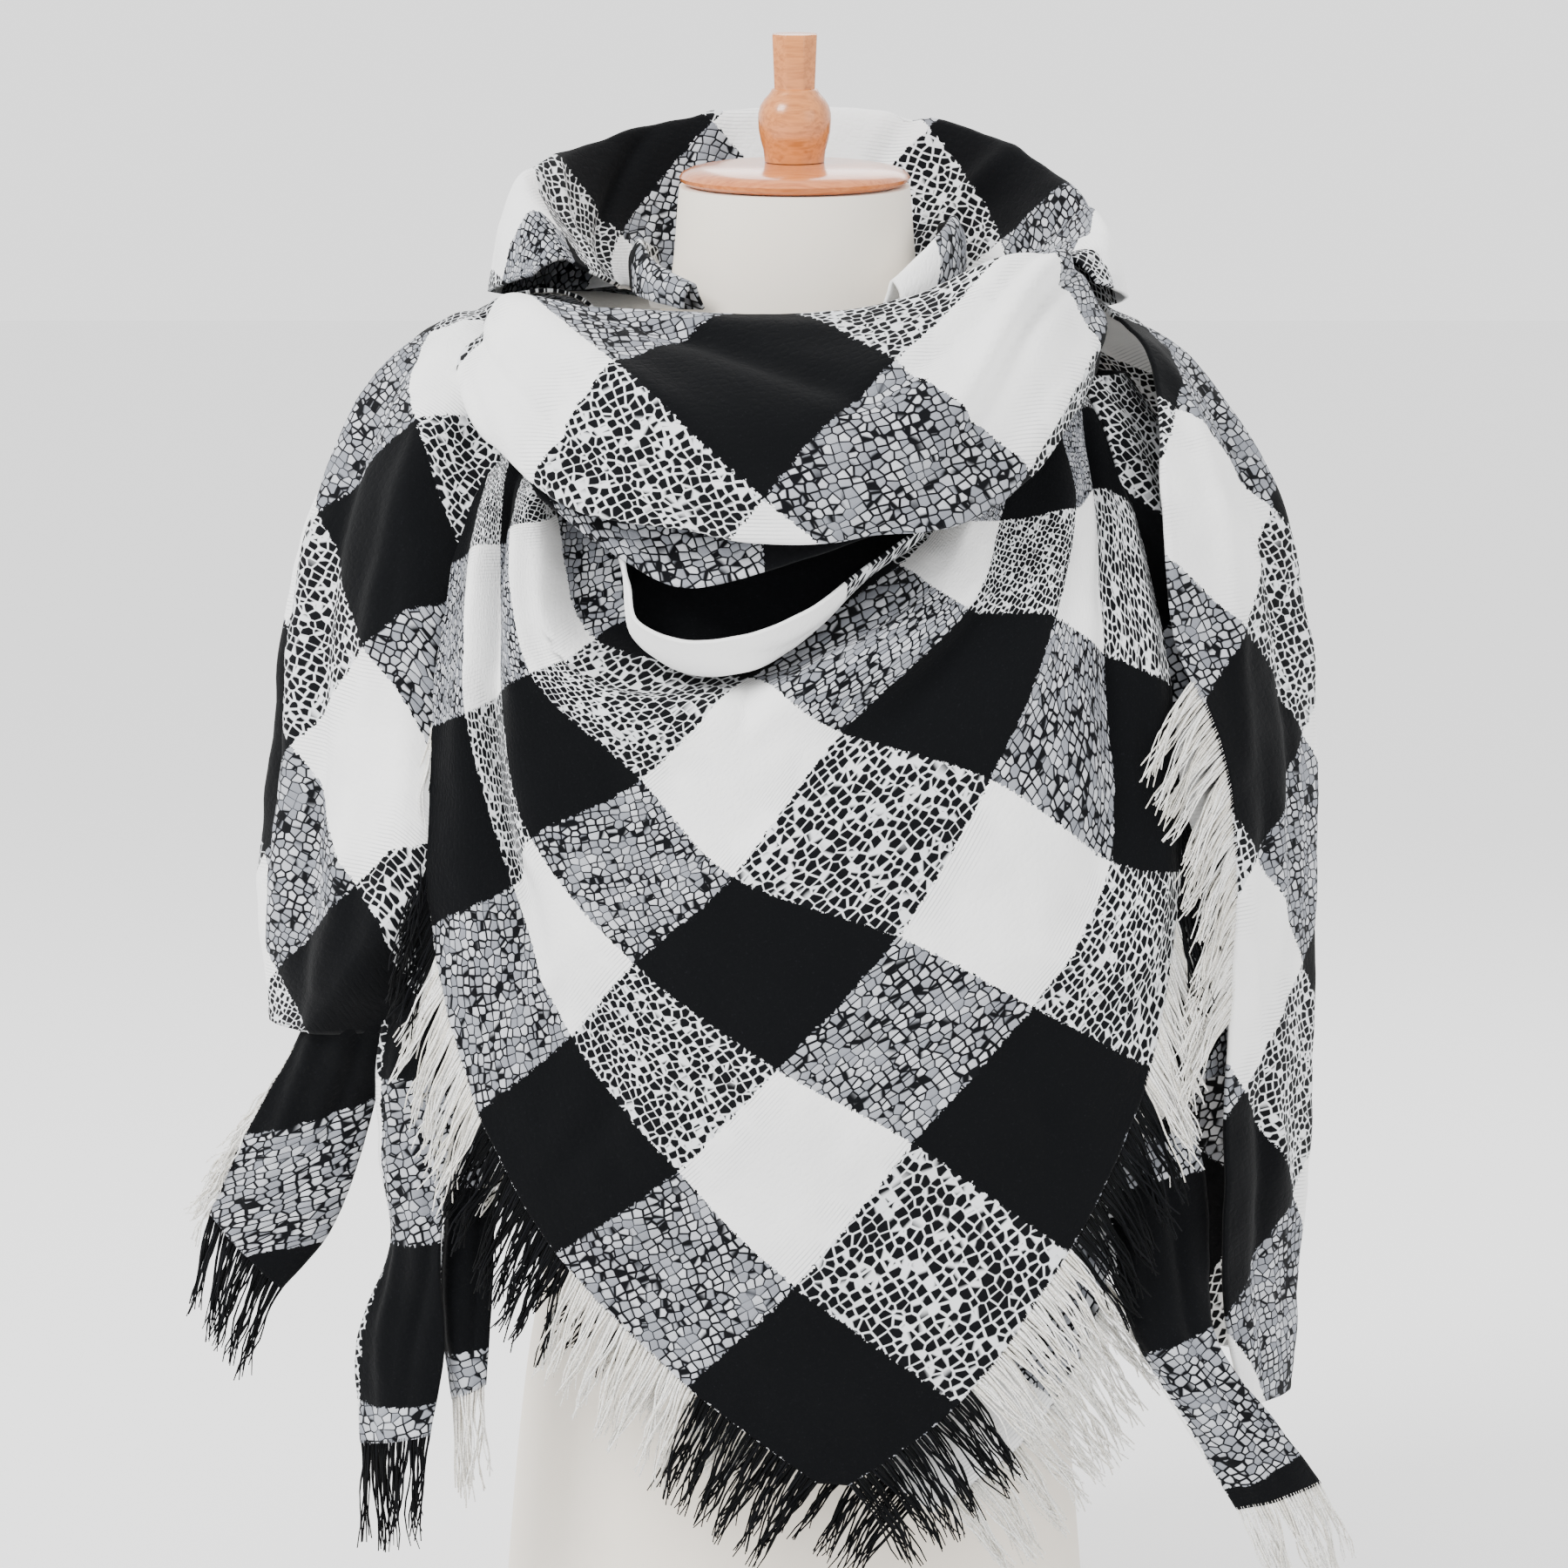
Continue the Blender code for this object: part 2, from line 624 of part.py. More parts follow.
def main():
    """Build the dress form and the scarf on it."""
    clear_scene()
    collection = bpy.data.collections.new(COLLECTION)
    bpy.context.scene.collection.children.link(collection)
    black = make_material("cloth_black", (0.012, 0.012, 0.014), 0.95)
    grey = make_material("cloth_grey", (0.45, 0.45, 0.46), 0.95)
    build_form(collection)
    build_front(black, grey, collection)
    build_cowl(black, grey, collection)
    build_sides(black, grey, collection)
    seat(collection.objects)


main()
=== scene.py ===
"""A brushed check blanket scarf wound over a countertop dress form.

The scarf is one square of cloth folded corner to corner. Each stretch of it that shows is
a thin shell on the smooth drape around the form, with its creases laid in, a check
that follows the cloth, and loose yarn ends along its selvedges.
A place around the form has a turn (degrees, 0 in front, plus towards +X), a height and a
distance out from the drape. Tables are in millimetres, the model is in metres.
"""
import logging
import math
import random
from collections import namedtuple
from collections.abc import Callable, Sequence
from dataclasses import dataclass, field
from enum import Enum

import bpy
import numpy as np
from mathutils import Matrix, Vector, noise


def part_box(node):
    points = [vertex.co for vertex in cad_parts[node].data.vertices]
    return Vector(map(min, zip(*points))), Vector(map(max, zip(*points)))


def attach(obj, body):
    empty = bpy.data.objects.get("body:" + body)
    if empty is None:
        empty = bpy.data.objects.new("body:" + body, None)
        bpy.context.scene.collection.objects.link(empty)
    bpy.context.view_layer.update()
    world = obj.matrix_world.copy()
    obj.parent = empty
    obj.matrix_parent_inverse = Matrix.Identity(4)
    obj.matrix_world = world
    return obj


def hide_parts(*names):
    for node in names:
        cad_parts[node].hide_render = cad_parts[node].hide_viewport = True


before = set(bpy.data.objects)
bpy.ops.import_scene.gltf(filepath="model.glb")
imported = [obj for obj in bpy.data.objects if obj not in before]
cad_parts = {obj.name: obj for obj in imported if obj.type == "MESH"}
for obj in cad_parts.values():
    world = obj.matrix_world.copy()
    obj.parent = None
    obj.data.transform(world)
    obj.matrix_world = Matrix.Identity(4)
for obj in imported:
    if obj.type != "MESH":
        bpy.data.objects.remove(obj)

LOG = logging.getLogger("blanket_scarf")
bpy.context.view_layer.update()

MM = 0.001
WALL = 2.0 * MM
CHECK = 85 * MM
THREAD = 4.25 * MM
FRINGE = 48 * MM
ROUNDNESS = 2.2
CAP_TILT = math.radians(-6)
NECK_TOP = 785 * MM
CAP_HEIGHT = 12 * MM
TURN_IN_DEPTH = 28
# The top of the right inner layer reaches this much further forward, in degrees, and in.
INNER_FORWARD = 7
INNER_INWARD = 8
# The hanging fold is black above the first share down, on its back and floor: partly the black check and
# partly painted shade in its hollow. Its white wall starts at that share and greys at the second share
# across.
SWAG_WALL, SWAG_GREY = 0.56, 0.80
SEAM = 0.3 * MM

Place = tuple[float, float]
Surface = Callable[[float, float], Vector]
Given = bpy.types.NodeSocket | float

Ring = namedtuple("Ring", "height half_width front back")
DRAPE = [
    Ring(50, 245, 150, 140),
    Ring(300, 250, 155, 140),
    Ring(450, 252, 155, 140),
    Ring(550, 248, 150, 135),
    Ring(620, 230, 143, 125),
    Ring(660, 212, 135, 126),
    Ring(700, 185, 124, 122),
    Ring(730, 140, 110, 112),
    Ring(780, 115, 98, 100),
    Ring(860, 108, 92, 90),
]
FORM = [
    Ring(0, 155, 105, 105),
    Ring(60, 152, 103, 103),
    Ring(170, 141, 95, 95),
    Ring(300, 118, 84, 84),
    Ring(390, 130, 94, 88),
    Ring(460, 150, 106, 94),
    Ring(540, 162, 98, 96),
    Ring(600, 172, 86, 90),
    Ring(635, 176, 78, 80),
    Ring(662, 164, 68, 72),
    Ring(682, 132, 62, 66),
    Ring(698, 100, 59, 62),
    Ring(714, 76, 58, 60),
    Ring(734, 65, 58, 58),
    Ring(785, 60, 60, 60),
]

BIB_LINES = [
    [(20, 131), (82, 177), (138, 253), (180, 344), (194, 443), (189, 538), (171, 624), (160, 672)],
    [(-54, 187), (0, 240), (59, 311), (119, 379), (161, 450), (158, 555), (154, 638), (146, 677)],
    [(-120, 253), (-59, 297), (-9, 350), (51, 416), (97, 494), (128, 573), (139, 625), (133, 668)],
    [(-159, 323), (-113, 364), (-80, 402), (-31, 446), (23, 518), (86, 579), (103, 622), (112, 660)],
    [(-182, 417), (-144, 438), (-130, 464), (-77, 494), (-23, 545), (53, 598), (77, 622), (90, 652)],
    [(-183, 517), (-163, 525), (-149, 536), (-131, 546), (-101, 561), (-27, 606), (30, 630), (60, 656)],
    [(-173, 598), (-161, 604), (-151, 610), (-141, 616), (-121, 622), (-70, 636), (-20, 646), (20, 664)],
    [(-162, 652), (-153, 654), (-144, 655), (-134, 655), (-118, 655), (-90, 658), (-50, 666), (-10, 680)],
]
LEAN, LEAN_START, LEAN_END = 16, 560, 650
HOLLOW, HOLLOW_START, HOLLOW_END = 38, 3.6, 4.2
BIB_TIP = 0.12
BIB_TOP = [6.8, 8.2, 9.4, 10.4, 10.4, 9.9, 9.2, 8.2, 6.7]

Corner = namedtuple("Corner", "across height out")
UNDER_RIGHT = [Corner(70, 115, -16), Corner(118, 152, -16), Corner(152, 208, -16), Corner(172, 300, -16)]
UNDER_LEFT = [Corner(70, 115, -16), Corner(-45, 203, -16), Corner(-108, 266, -16), Corner(-146, 335, -16)]

# Sections of the cowl from left to right, each with three places (across, front, height).
Band = namedtuple("Band", "rim belly hem")
COWL_FLAP = [
    Band((-150, 30, 716), (-163, 24, 700), (-159, 16, 684)),
    Band((-150, -30, 722), (-164, -46, 698), (-160, -60, 672)),
    Band((-134, -72, 729), (-151, -106, 698), (-145, -120, 655)),
    Band((-95, -95, 724), (-108, -146, 684), (-108, -158, 630)),
    Band((-45, -104, 720), (-50, -168, 676), (-40, -176, 616)),
    Band((15, -106, 720), (12, -174, 672), (18, -181, 614)),
    Band((65, -100, 729), (76, -160, 688), (82, -170, 622)),
    Band((108, -86, 748), (126, -124, 712), (124, -138, 646)),
    Band((140, -62, 750), (155, -82, 720), (150, -98, 680)),
    Band((148, -32, 738), (160, -46, 716), (158, -58, 690)),
]
COWL_ROLL = [
    Band((-124, -104, 656), (-134, -116, 642), (-128, -124, 630)),
    Band((-88, -120, 648), (-94, -138, 624), (-86, -150, 602)),
    Band((-50, -126, 642), (-56, -146, 614), (-54, -160, 588)),
    Band((-15, -126, 642), (-16, -148, 618), (-14, -162, 597)),
    Band((30, -126, 646), (32, -146, 628), (34, -158, 612)),
    Band((75, -118, 654), (80, -134, 640), (80, -142, 628)),
]
SWAG = [
    Band((-86, -117, 628), (-89, -128, 606), (-89, -146, 610)),
    Band((-82, -117, 618), (-84, -136, 584), (-83, -158, 590)),
    Band((-74, -118, 626), (-76, -142, 560), (-78, -166, 570)),
    Band((-50, -118, 628), (-52, -146, 547), (-53, -172, 560)),
    Band((-20, -118, 628), (-20, -146, 550), (-20, -172, 564)),
    Band((10, -118, 630), (10, -144, 566), (10, -168, 578)),
    Band((38, -118, 632), (38, -139, 592), (38, -154, 598)),
    Band((64, -118, 634), (64, -134, 612), (64, -142, 616)),
]

# Standing folds around the neck: foot inside, top fold and outer edge, by turn.
Stand = namedtuple("Stand", "turn foot_radius foot top_radius top edge_radius edge")
COLLAR = [
    Stand(-72, 104, 742, 124, 752, 142, 744),
    Stand(-84, 92, 738, 140, 788, 158, 736),
    Stand(-108, 88, 735, 137, 801, 160, 732),
    Stand(-134, 86, 733, 128, 817, 160, 724),
    Stand(-160, 86, 731, 120, 828, 160, 718),
    Stand(-186, 86, 730, 118, 831, 160, 716),
    Stand(-212, 86, 731, 126, 826, 162, 718),
    Stand(-238, 88, 733, 140, 808, 166, 722),
    Stand(-262, 92, 736, 152, 782, 172, 728),
    Stand(-278, 98, 740, 160, 762, 172, 734),
    Stand(-290, 112, 746, 148, 752, 164, 740),
]
NECK_FOLD_LEFT = [
    Stand(-112, 74, 724, 78, 752, 82, 738),
    Stand(-88, 74, 722, 80, 756, 84, 736),
    Stand(-62, 72, 722, 80, 744, 90, 728),
    Stand(-40, 72, 722, 80, 734, 88, 722),
]
NECK_FOLD_RIGHT = [
    Stand(38, 72, 722, 80, 736, 88, 722),
    Stand(60, 72, 722, 82, 756, 92, 732),
    Stand(84, 74, 722, 82, 768, 88, 744),
    Stand(108, 76, 724, 80, 764, 86, 742),
]

# Hanging panels: one row for each level down, with the turn of both edges and the way out
# from the drape, or from the form itself where the cloth rests on it.
Level = namedtuple("Level", "height first last out rings", defaults=(DRAPE,))
SHOULDER_LEFT = [
    Level(705, -92, -150, 1.8, FORM),
    Level(727, -88, -150, -30),
    Level(727, -82, -150, 5),
    Level(712, -74, -151, 15),
    Level(690, -62, -153, 17),
    Level(640, -52, -152, 18),
    Level(570, -47, -148, 17),
    Level(490, -46, -143, 18),
    Level(425, -47, -139, 24),
    Level(385, -54, -135, 25),
    Level(352, -64, -130, 25),
]
SHOULDER_RIGHT = [
    Level(705, 93, 152, 1.8, FORM),
    Level(727, 93, 152, -30),
    Level(727, 90, 152, 5),
    Level(708, 68, 152, 13),
    Level(680, 57, 154, 17),
    Level(625, 47, 154, 18),
    Level(560, 45, 152, 16),
    Level(500, 52, 150, 16),
    Level(440, 55, 146, 16),
    Level(360, 54, 142, 16),
    Level(290, 54, 138, 16),
    Level(220, 55, 133, 15),
    Level(155, 60, 127, 14),
]
SHOULDER_RIGHT_INNER = [
    Level(688, 64, 116, -14),
    Level(640, 60, 116, -12),
    Level(560, 55, 116, -10),
    Level(460, 48, 114, -10),
    Level(390, 48, 112, -10),
    Level(330, 50, 110, -10),
]
NAPE_WRAP = [
    Level(706, -157, -203, 1.2, FORM),
    Level(716, -157, -203, -24),
    Level(712, -156, -204, -10),
    Level(694, -144, -216, -6),
    Level(665, -134, -226, -3),
    Level(625, -138, -222, -2),
    Level(585, -150, -210, 0),
    Level(556, -164, -196, 0),
]
NAPE_CROSS = [
    Level(706, -180, -236, 26),
    Level(688, -164, -222, 27),
    Level(655, -150, -208, 28),
    Level(615, -142, -196, 28),
    Level(570, -138, -184, 28),
    Level(520, -138, -170, 26),
]

# Tails: left and right edge of each section, as across, front, height.
Strip = namedtuple("Strip", "left right")
TAIL_LEFT_OUTER = [
    Strip((-236, -74, 412), (-192, -94, 440)),
    Strip((-240, -68, 362), (-198, -86, 372)),
    Strip((-264, -54, 316), (-208, -62, 312)),
    Strip((-286, -42, 275), (-230, -50, 248)),
    Strip((-296, -34, 250), (-258, -46, 212)),
]
TAIL_LEFT_INNER = [
    Strip((-208, -66, 376), (-160, -86, 380)),
    Strip((-214, -70, 330), (-166, -90, 334)),
    Strip((-212, -72, 290), (-176, -100, 286)),
    Strip((-206, -76, 246), (-180, -104, 240)),
    Strip((-224, -80, 196), (-178, -102, 196)),
    Strip((-222, -80, 142), (-186, -98, 150)),
]
TAIL_LEFT_FOLD = [
    Strip((-178, -84, 322), (-150, -96, 326)),
    Strip((-174, -90, 270), (-148, -102, 270)),
    Strip((-176, -94, 214), (-150, -106, 214)),
    Strip((-170, -94, 166), (-154, -104, 176)),
]
TAIL_RIGHT = [
    Strip((150, -119, 300), (206, -85, 306)),
    Strip((158, -114, 252), (212, -86, 252)),
    Strip((172, -120, 206), (214, -118, 200)),
    Strip((196, -122, 162), (246, -112, 156)),
    Strip((226, -112, 112), (270, -98, 122)),
]


class Held(Enum):
    """How a stretch of cloth is held up."""

    DRAPED = "draped"
    FOLDED = "folded"
    HUNG = "hung"


class Side(Enum):
    """An edge of a stretch of cloth that yarn ends leave."""

    FIRST = 0
    LAST = 1
    END = 2


class Tone(Enum):
    """The colour that a run of yarn ends takes."""

    BLACK = "black"
    CREAM = "cream"
    BY_CHECK = "by_check"


# ---------------------------------------------------------------- the drape and its shapes


def ease(value: float, start: float, end: float) -> float:
    """Rise softly from 0 at start to 1 at end."""
    part = min(max((value - start) / (end - start), 0), 1)
    return part * part * (3 - 2 * part)


def along(places: Sequence[Sequence[float]], at: float) -> tuple[float, ...]:
    """Read one smooth curve through a list of places.

    Args:
        places: The places, each a row of numbers.
        at: A fractional index into them.

    Returns:
        The place on the curve.
    """
    last = len(places) - 1
    first = min(max(int(at), 0), last - 1)
    start, end = places[first], places[first + 1]
    before = places[first - 1] if first else tuple(2 * s - e for s, e in zip(start, end))
    after = places[first + 2] if first + 2 <= last else tuple(2 * e - s for s, e in zip(start, end))
    part = at - first
    return tuple(
        0.5 * (2 * s + (e - b) * part + (2 * b - 5 * s + 4 * e - a) * part ** 2
               + (3 * s - b - 3 * e + a) * part ** 3)
        for b, s, e, a in zip(before, start, end, after)
    )


def ring_at(rings: Sequence[Ring], height: float) -> list[float]:
    """Give the half width, front and back depth of a stack of rings at a height, in metres."""
    low = rings[0]
    for high in rings[1:]:
        if height * 1000 <= high.height:
            break
        low = high
    span = (height * 1000 - low.height) / max(high.height - low.height, 1)
    part = min(max(span, 0), 1)
    return [(a + (b - a) * part) * MM for a, b in zip(low[1:], high[1:])]


def around(turn: float, height: float, out: float = 0, rings: Sequence[Ring] = DRAPE) -> Vector:
    """Give the place at a turn and height, moved out from the rings; mm in, metres out."""
    half_width, front, back = ring_at(rings, height * MM)
    angle = math.radians(turn)
    across, ahead = math.sin(angle), math.cos(angle)
    depth = front if ahead > 0 else back
    power = 2 / ROUNDNESS
    x = (half_width + out * MM) * math.copysign(abs(across) ** power, across)
    y = -(depth + out * MM) * math.copysign(abs(ahead) ** power, ahead)
    return Vector((x, y, height * MM))


def in_front(x: float, height: float, out: float = 0) -> Vector:
    """Give the place in front of the form at an across and a height; mm in, metres out."""
    half_width, front, _back = ring_at(DRAPE, height * MM)
    share = min(abs(x) * MM / (half_width + out * MM), 0.999)
    ahead = (1 - share ** ROUNDNESS) ** (1 / ROUNDNESS)
    return Vector((x * MM, -(front + out * MM) * ahead, height * MM))


def bib_place(to_right: float, to_left: float) -> Vector:
    """Give a place on the triangle, by checks counted from its tip along both selvedges."""
    lines = [along(line, to_right) for line in BIB_LINES]
    x, height = along(lines, to_left)
    lean = LEAN * ease(height, LEAN_START, LEAN_END)
    hollow = HOLLOW * ease(min(to_right, to_left), HOLLOW_START, HOLLOW_END)
    return in_front(x, height, -lean - hollow)


def bib_counts(across: float, up: float) -> Place:
    """Give the checks counted along both selvedges at a share across and up the triangle."""
    share = 2 * across - 1
    reach, = along([(top,) for top in BIB_TOP], across * (len(BIB_TOP) - 1))
    total = BIB_TIP + (reach - BIB_TIP) * up
    return total * (1 + share) / 2, total * (1 - share) / 2


def bib(across: float, up: float) -> Vector:
    """Give a place on the front triangle, by shares across it and up from its tip."""
    return bib_place(*bib_counts(across, up))


def under(across: float, up: float) -> Vector:
    """Give a place on the second layer of the triangle."""
    last = len(UNDER_RIGHT) - 1
    tip = UNDER_RIGHT[0]
    right = along(UNDER_RIGHT, across * last)
    left = along(UNDER_LEFT, up * last)
    return in_front(*(r + l - t for r, l, t in zip(right, left, tip)))


def band(sections: Sequence[Band], top_turn: Place, hem_turn: Place) -> Surface:
    """Make a cowl surface through its sections, with both long edges turned in.

    Args:
        sections: Its rim, belly and hem from left to right.
        top_turn: The way in from the rim, back and up.
        hem_turn: The way in from the hem, back and up.

    Returns:
        A function from shares across and down to a place.
    """
    def place(across: float, down: float) -> Vector:
        at = across * (len(sections) - 1)
        rim = along([row.rim for row in sections], at)
        belly = along([row.belly for row in sections], at)
        hem = along([row.hem for row in sections], at)
        inner = (rim[0] * 0.97, rim[1] + top_turn[0], rim[2] + top_turn[1])
        tuck = (hem[0] * 0.97, hem[1] + hem_turn[0], hem[2] + hem_turn[1])
        return Vector(along([inner, rim, belly, hem, tuck], down * 4)) * MM
    return place


def swag(across: float, down: float) -> Vector:
    """Give a place on the hanging fold under the chin, from its back to its lip."""
    at = across * (len(SWAG) - 1)
    back, floor, lip = (along([row[k] for row in SWAG], at) for k in range(3))
    return Vector(along([back, floor, lip], down * 2)) * MM


def seated_swag(across: float, down: float) -> Vector:
    """Give a place on the hanging fold's solid, which ends one section short at both sides."""
    ends = len(SWAG) - 1
    return swag((1 + across * (ends - 2)) / ends, down)


def swag_counts(across: float, down: float) -> Place:
    # Back and floor are black: partly the black check and partly painted shade in the hollow.
    if down < SWAG_WALL:
        return 0.5, 0.5
    return (1.5, 1.5) if across < SWAG_GREY else (1.5, 0.5)


def stand(sections: Sequence[Stand]) -> Surface:
    """Make a standing fold around the neck: foot, top fold and outer edge by turn."""
    def place(across: float, over: float) -> Vector:
        row = Stand(*along(sections, across * (len(sections) - 1)))
        middle = (row.foot_radius * 0.45 + row.top_radius * 0.55, row.foot * 0.5 + row.top * 0.5)
        outer = (row.edge_radius * 0.45 + row.top_radius * 0.55 + 3, row.edge * 0.4 + row.top * 0.6)
        profile = [(row.foot_radius, row.foot), middle, (row.top_radius, row.top), outer,
                   (row.edge_radius, row.edge)]
        radius, height = along(profile, over * 4)
        angle = math.radians(row.turn)
        return Vector((radius * math.sin(angle), -radius * math.cos(angle), height)) * MM
    return place


def panel(levels: Sequence[Level], turn_in: float = 0) -> Surface:
    """Make a hanging panel through its levels, from its first edge round to its last.

    Args:
        levels: Its levels from the top down.
        turn_in: How many degrees of its first edge are folded in behind the panel.

    Returns:
        A function from shares across and down to a place.
    """
    hem = 0.08 if turn_in else 0

    def place(across: float, down: float) -> Vector:
        folded = max(0.0, hem - across) / hem if hem else 0.0
        share = max(0.0, across - hem) / (1 - hem)
        column = [around(row.first + (row.last - row.first) * share + turn_in * folded, row.height,
                         row.out - (TURN_IN_DEPTH * ease(folded, 0, 0.6) if row.out > 10 else 0), row.rings)
                  for row in levels]
        return Vector(along(column, down * (len(levels) - 1)))
    return place


def strip(sections: Sequence[Strip], bow: float = 8) -> Surface:
    """Make a tail through its sections, bowed outwards between its two edges."""
    def place(across: float, down: float) -> Vector:
        at = down * (len(sections) - 1)
        left = along([row.left for row in sections], at)
        right = along([row.right for row in sections], at)
        x, y, z = (a + (b - a) * across for a, b in zip(left, right))
        return Vector((x, y - bow * math.sin(math.pi * across), z)) * MM
    return place


# ---------------------------------------------------------------- colours and finishes


def srgb(code: str) -> tuple[float, float, float, float]:
    """Turn an sRGB hex colour into a linear one with full alpha."""
    parts = [int(code[k:k + 2], 16) / 255 for k in (1, 3, 5)]
    return (*(p / 12.92 if p <= 0.04045 else ((p + 0.055) / 1.055) ** 2.4 for p in parts), 1.0)


def add(tree: bpy.types.NodeTree, kind: str, settings: dict | None = None, values: dict | None = None,
        links: dict | None = None) -> bpy.types.Node:
    """Add one node.

    Args:
        tree: The node tree.
        kind: The node's type, without its "ShaderNode" start.
        settings: Properties of the node.
        values: Values of its input sockets.
        links: Output sockets to lead into its input sockets.

    Returns:
        The node.
    """
    node = tree.nodes.new("ShaderNode" + kind)
    for name, value in (settings or {}).items():
        setattr(node, name, value)
    for name, value in (values or {}).items():
        node.inputs[name].default_value = value
    for name, socket in (links or {}).items():
        tree.links.new(socket, node.inputs[name])
    return node


def start_material(name: str, colour: str, roughness: float,
                   sockets: dict[str, float] | None = None) -> tuple[bpy.types.Material, bpy.types.Node]:
    """Make a material with one Principled shader and its constant values."""
    made = bpy.data.materials.new(name)
    made.use_nodes = True
    shader = made.node_tree.nodes["Principled BSDF"]
    shader.inputs["Base Color"].default_value = srgb(colour)
    shader.inputs["Roughness"].default_value = roughness
    for socket, value in (sockets or {}).items():
        shader.inputs[socket].default_value = value
    return made, shader


@dataclass(frozen=True)
class BrushedCheck:
    """Thick acrylic twill, brushed on both faces, in a black and white check.

    Black over black is near black, white over white is a soft ribbed white, and where the
    two mix the threads show as pebbles with dark outlines or as dark dots in a pale net.
    """

    name: str = "brushed_acrylic_check"
    black: str = "#050608"
    speck: str = "#1B1C20"
    white: str = "#F6F6F5"
    rib: str = "#9B9DA1"
    pebble: str = "#BDBFC4"
    pebble_dark: str = "#80838A"
    net: str = "#DADCDE"
    dot: str = "#0A0B0E"
    ragged: float = 0.07
    outline: Place = (0.05, 0.15)
    dots: Place = (0.05, 0.14)
    slant: float = math.radians(18)
    packing: Place = (0.80, 0.98)

    def make(self) -> bpy.types.Material:
        """Build the material; it reads the cloth's own check and thread maps."""
        made, shader = start_material(self.name, self.white, 0.96, {
            "Specular IOR Level": 0.1, "Sheen Weight": 0.03, "Sheen Roughness": 0.5})
        tree = made.node_tree
        checks = add(tree, "UVMap", {"uv_map": "checks"}).outputs["UV"]
        threads = add(tree, "UVMap", {"uv_map": "threads"}).outputs["UV"]
        place = add(tree, "TexCoord").outputs["Object"]

        def maths(operation: str, first: Given, second: Given | None = None,
                  third: Given | None = None) -> bpy.types.NodeSocket:
            """Add a sum on up to three values or sockets."""
            node = add(tree, "Math", {"operation": operation})
            for socket, given in zip(node.inputs, (first, second, third)):
                if isinstance(given, (int, float)):
                    socket.default_value = given
                elif given is not None:
                    tree.links.new(given, socket)
            return node.outputs[0]

        def between(value: Given, low: float, high: float) -> bpy.types.NodeSocket:
            """Add a soft step from 0 at low to 1 at high."""
            node = add(tree, "MapRange", {"interpolation_type": "SMOOTHSTEP"},
                       {"From Min": low, "From Max": high}, {"Value": value})
            return node.outputs["Result"]

        def mix(share: Given, first: Given | str, second: Given | str,
                way: str = "MIX") -> bpy.types.NodeSocket:
            """Add a mix of two colours or sockets."""
            node = add(tree, "Mix", {"data_type": "RGBA", "blend_type": way})
            if isinstance(share, (int, float)):
                node.inputs[0].default_value = share
            else:
                tree.links.new(share, node.inputs[0])
            for socket, given in ((node.inputs[6], first), (node.inputs[7], second)):
                if isinstance(given, str):
                    socket.default_value = srgb(given)
                else:
                    tree.links.new(given, socket)
            return node.outputs[2]

        # The lines of the check wander by about a thread, so their edges are ragged.
        wander = add(tree, "TexNoise", {}, {"Scale": 1.6, "Detail": 2.0, "Roughness": 0.8},
                     {"Vector": threads}).outputs["Color"]
        centred = add(tree, "VectorMath", {"operation": "SUBTRACT"}, {1: (0.5, 0.5, 0.5)}, {0: wander})
        offset = add(tree, "VectorMath", {"operation": "SCALE"}, {"Scale": self.ragged},
                     {0: centred.outputs[0]})
        moved = add(tree, "VectorMath", {"operation": "ADD"}, {}, {0: checks, 1: offset.outputs[0]})
        counts = add(tree, "SeparateXYZ", {}, {}, {"Vector": moved.outputs[0]})
        odd_i = maths("GREATER_THAN", maths("FLOORED_MODULO", counts.outputs["X"], 2.0), 1.0)
        odd_j = maths("GREATER_THAN", maths("FLOORED_MODULO", counts.outputs["Y"], 2.0), 1.0)

        slanted = add(tree, "Mapping", {}, {"Rotation": (0, 0, self.slant), "Scale": (*self.packing, 1)},
                      {"Vector": threads}).outputs["Vector"]
        edges = add(tree, "TexVoronoi", {"feature": "DISTANCE_TO_EDGE"},
                    {"Scale": 1.0, "Randomness": 0.55}, {"Vector": slanted}).outputs["Distance"]
        cells = add(tree, "TexVoronoi", {"feature": "F1"},
                    {"Scale": 1.0, "Randomness": 0.55}, {"Vector": slanted}).outputs["Color"]
        cell_tone = add(tree, "SeparateXYZ", {}, {}, {"Vector": cells}).outputs["X"]
        fuzz = add(tree, "TexNoise", {}, {"Scale": 900.0, "Detail": 4.0, "Roughness": 0.65},
                   {"Vector": place}).outputs["Fac"]
        broad = add(tree, "TexNoise", {}, {"Scale": 14.0, "Detail": 3.0}, {"Vector": place}).outputs["Fac"]

        pebble_tone = mix(between(cell_tone, 0.1, 0.9), self.pebble_dark, self.pebble)
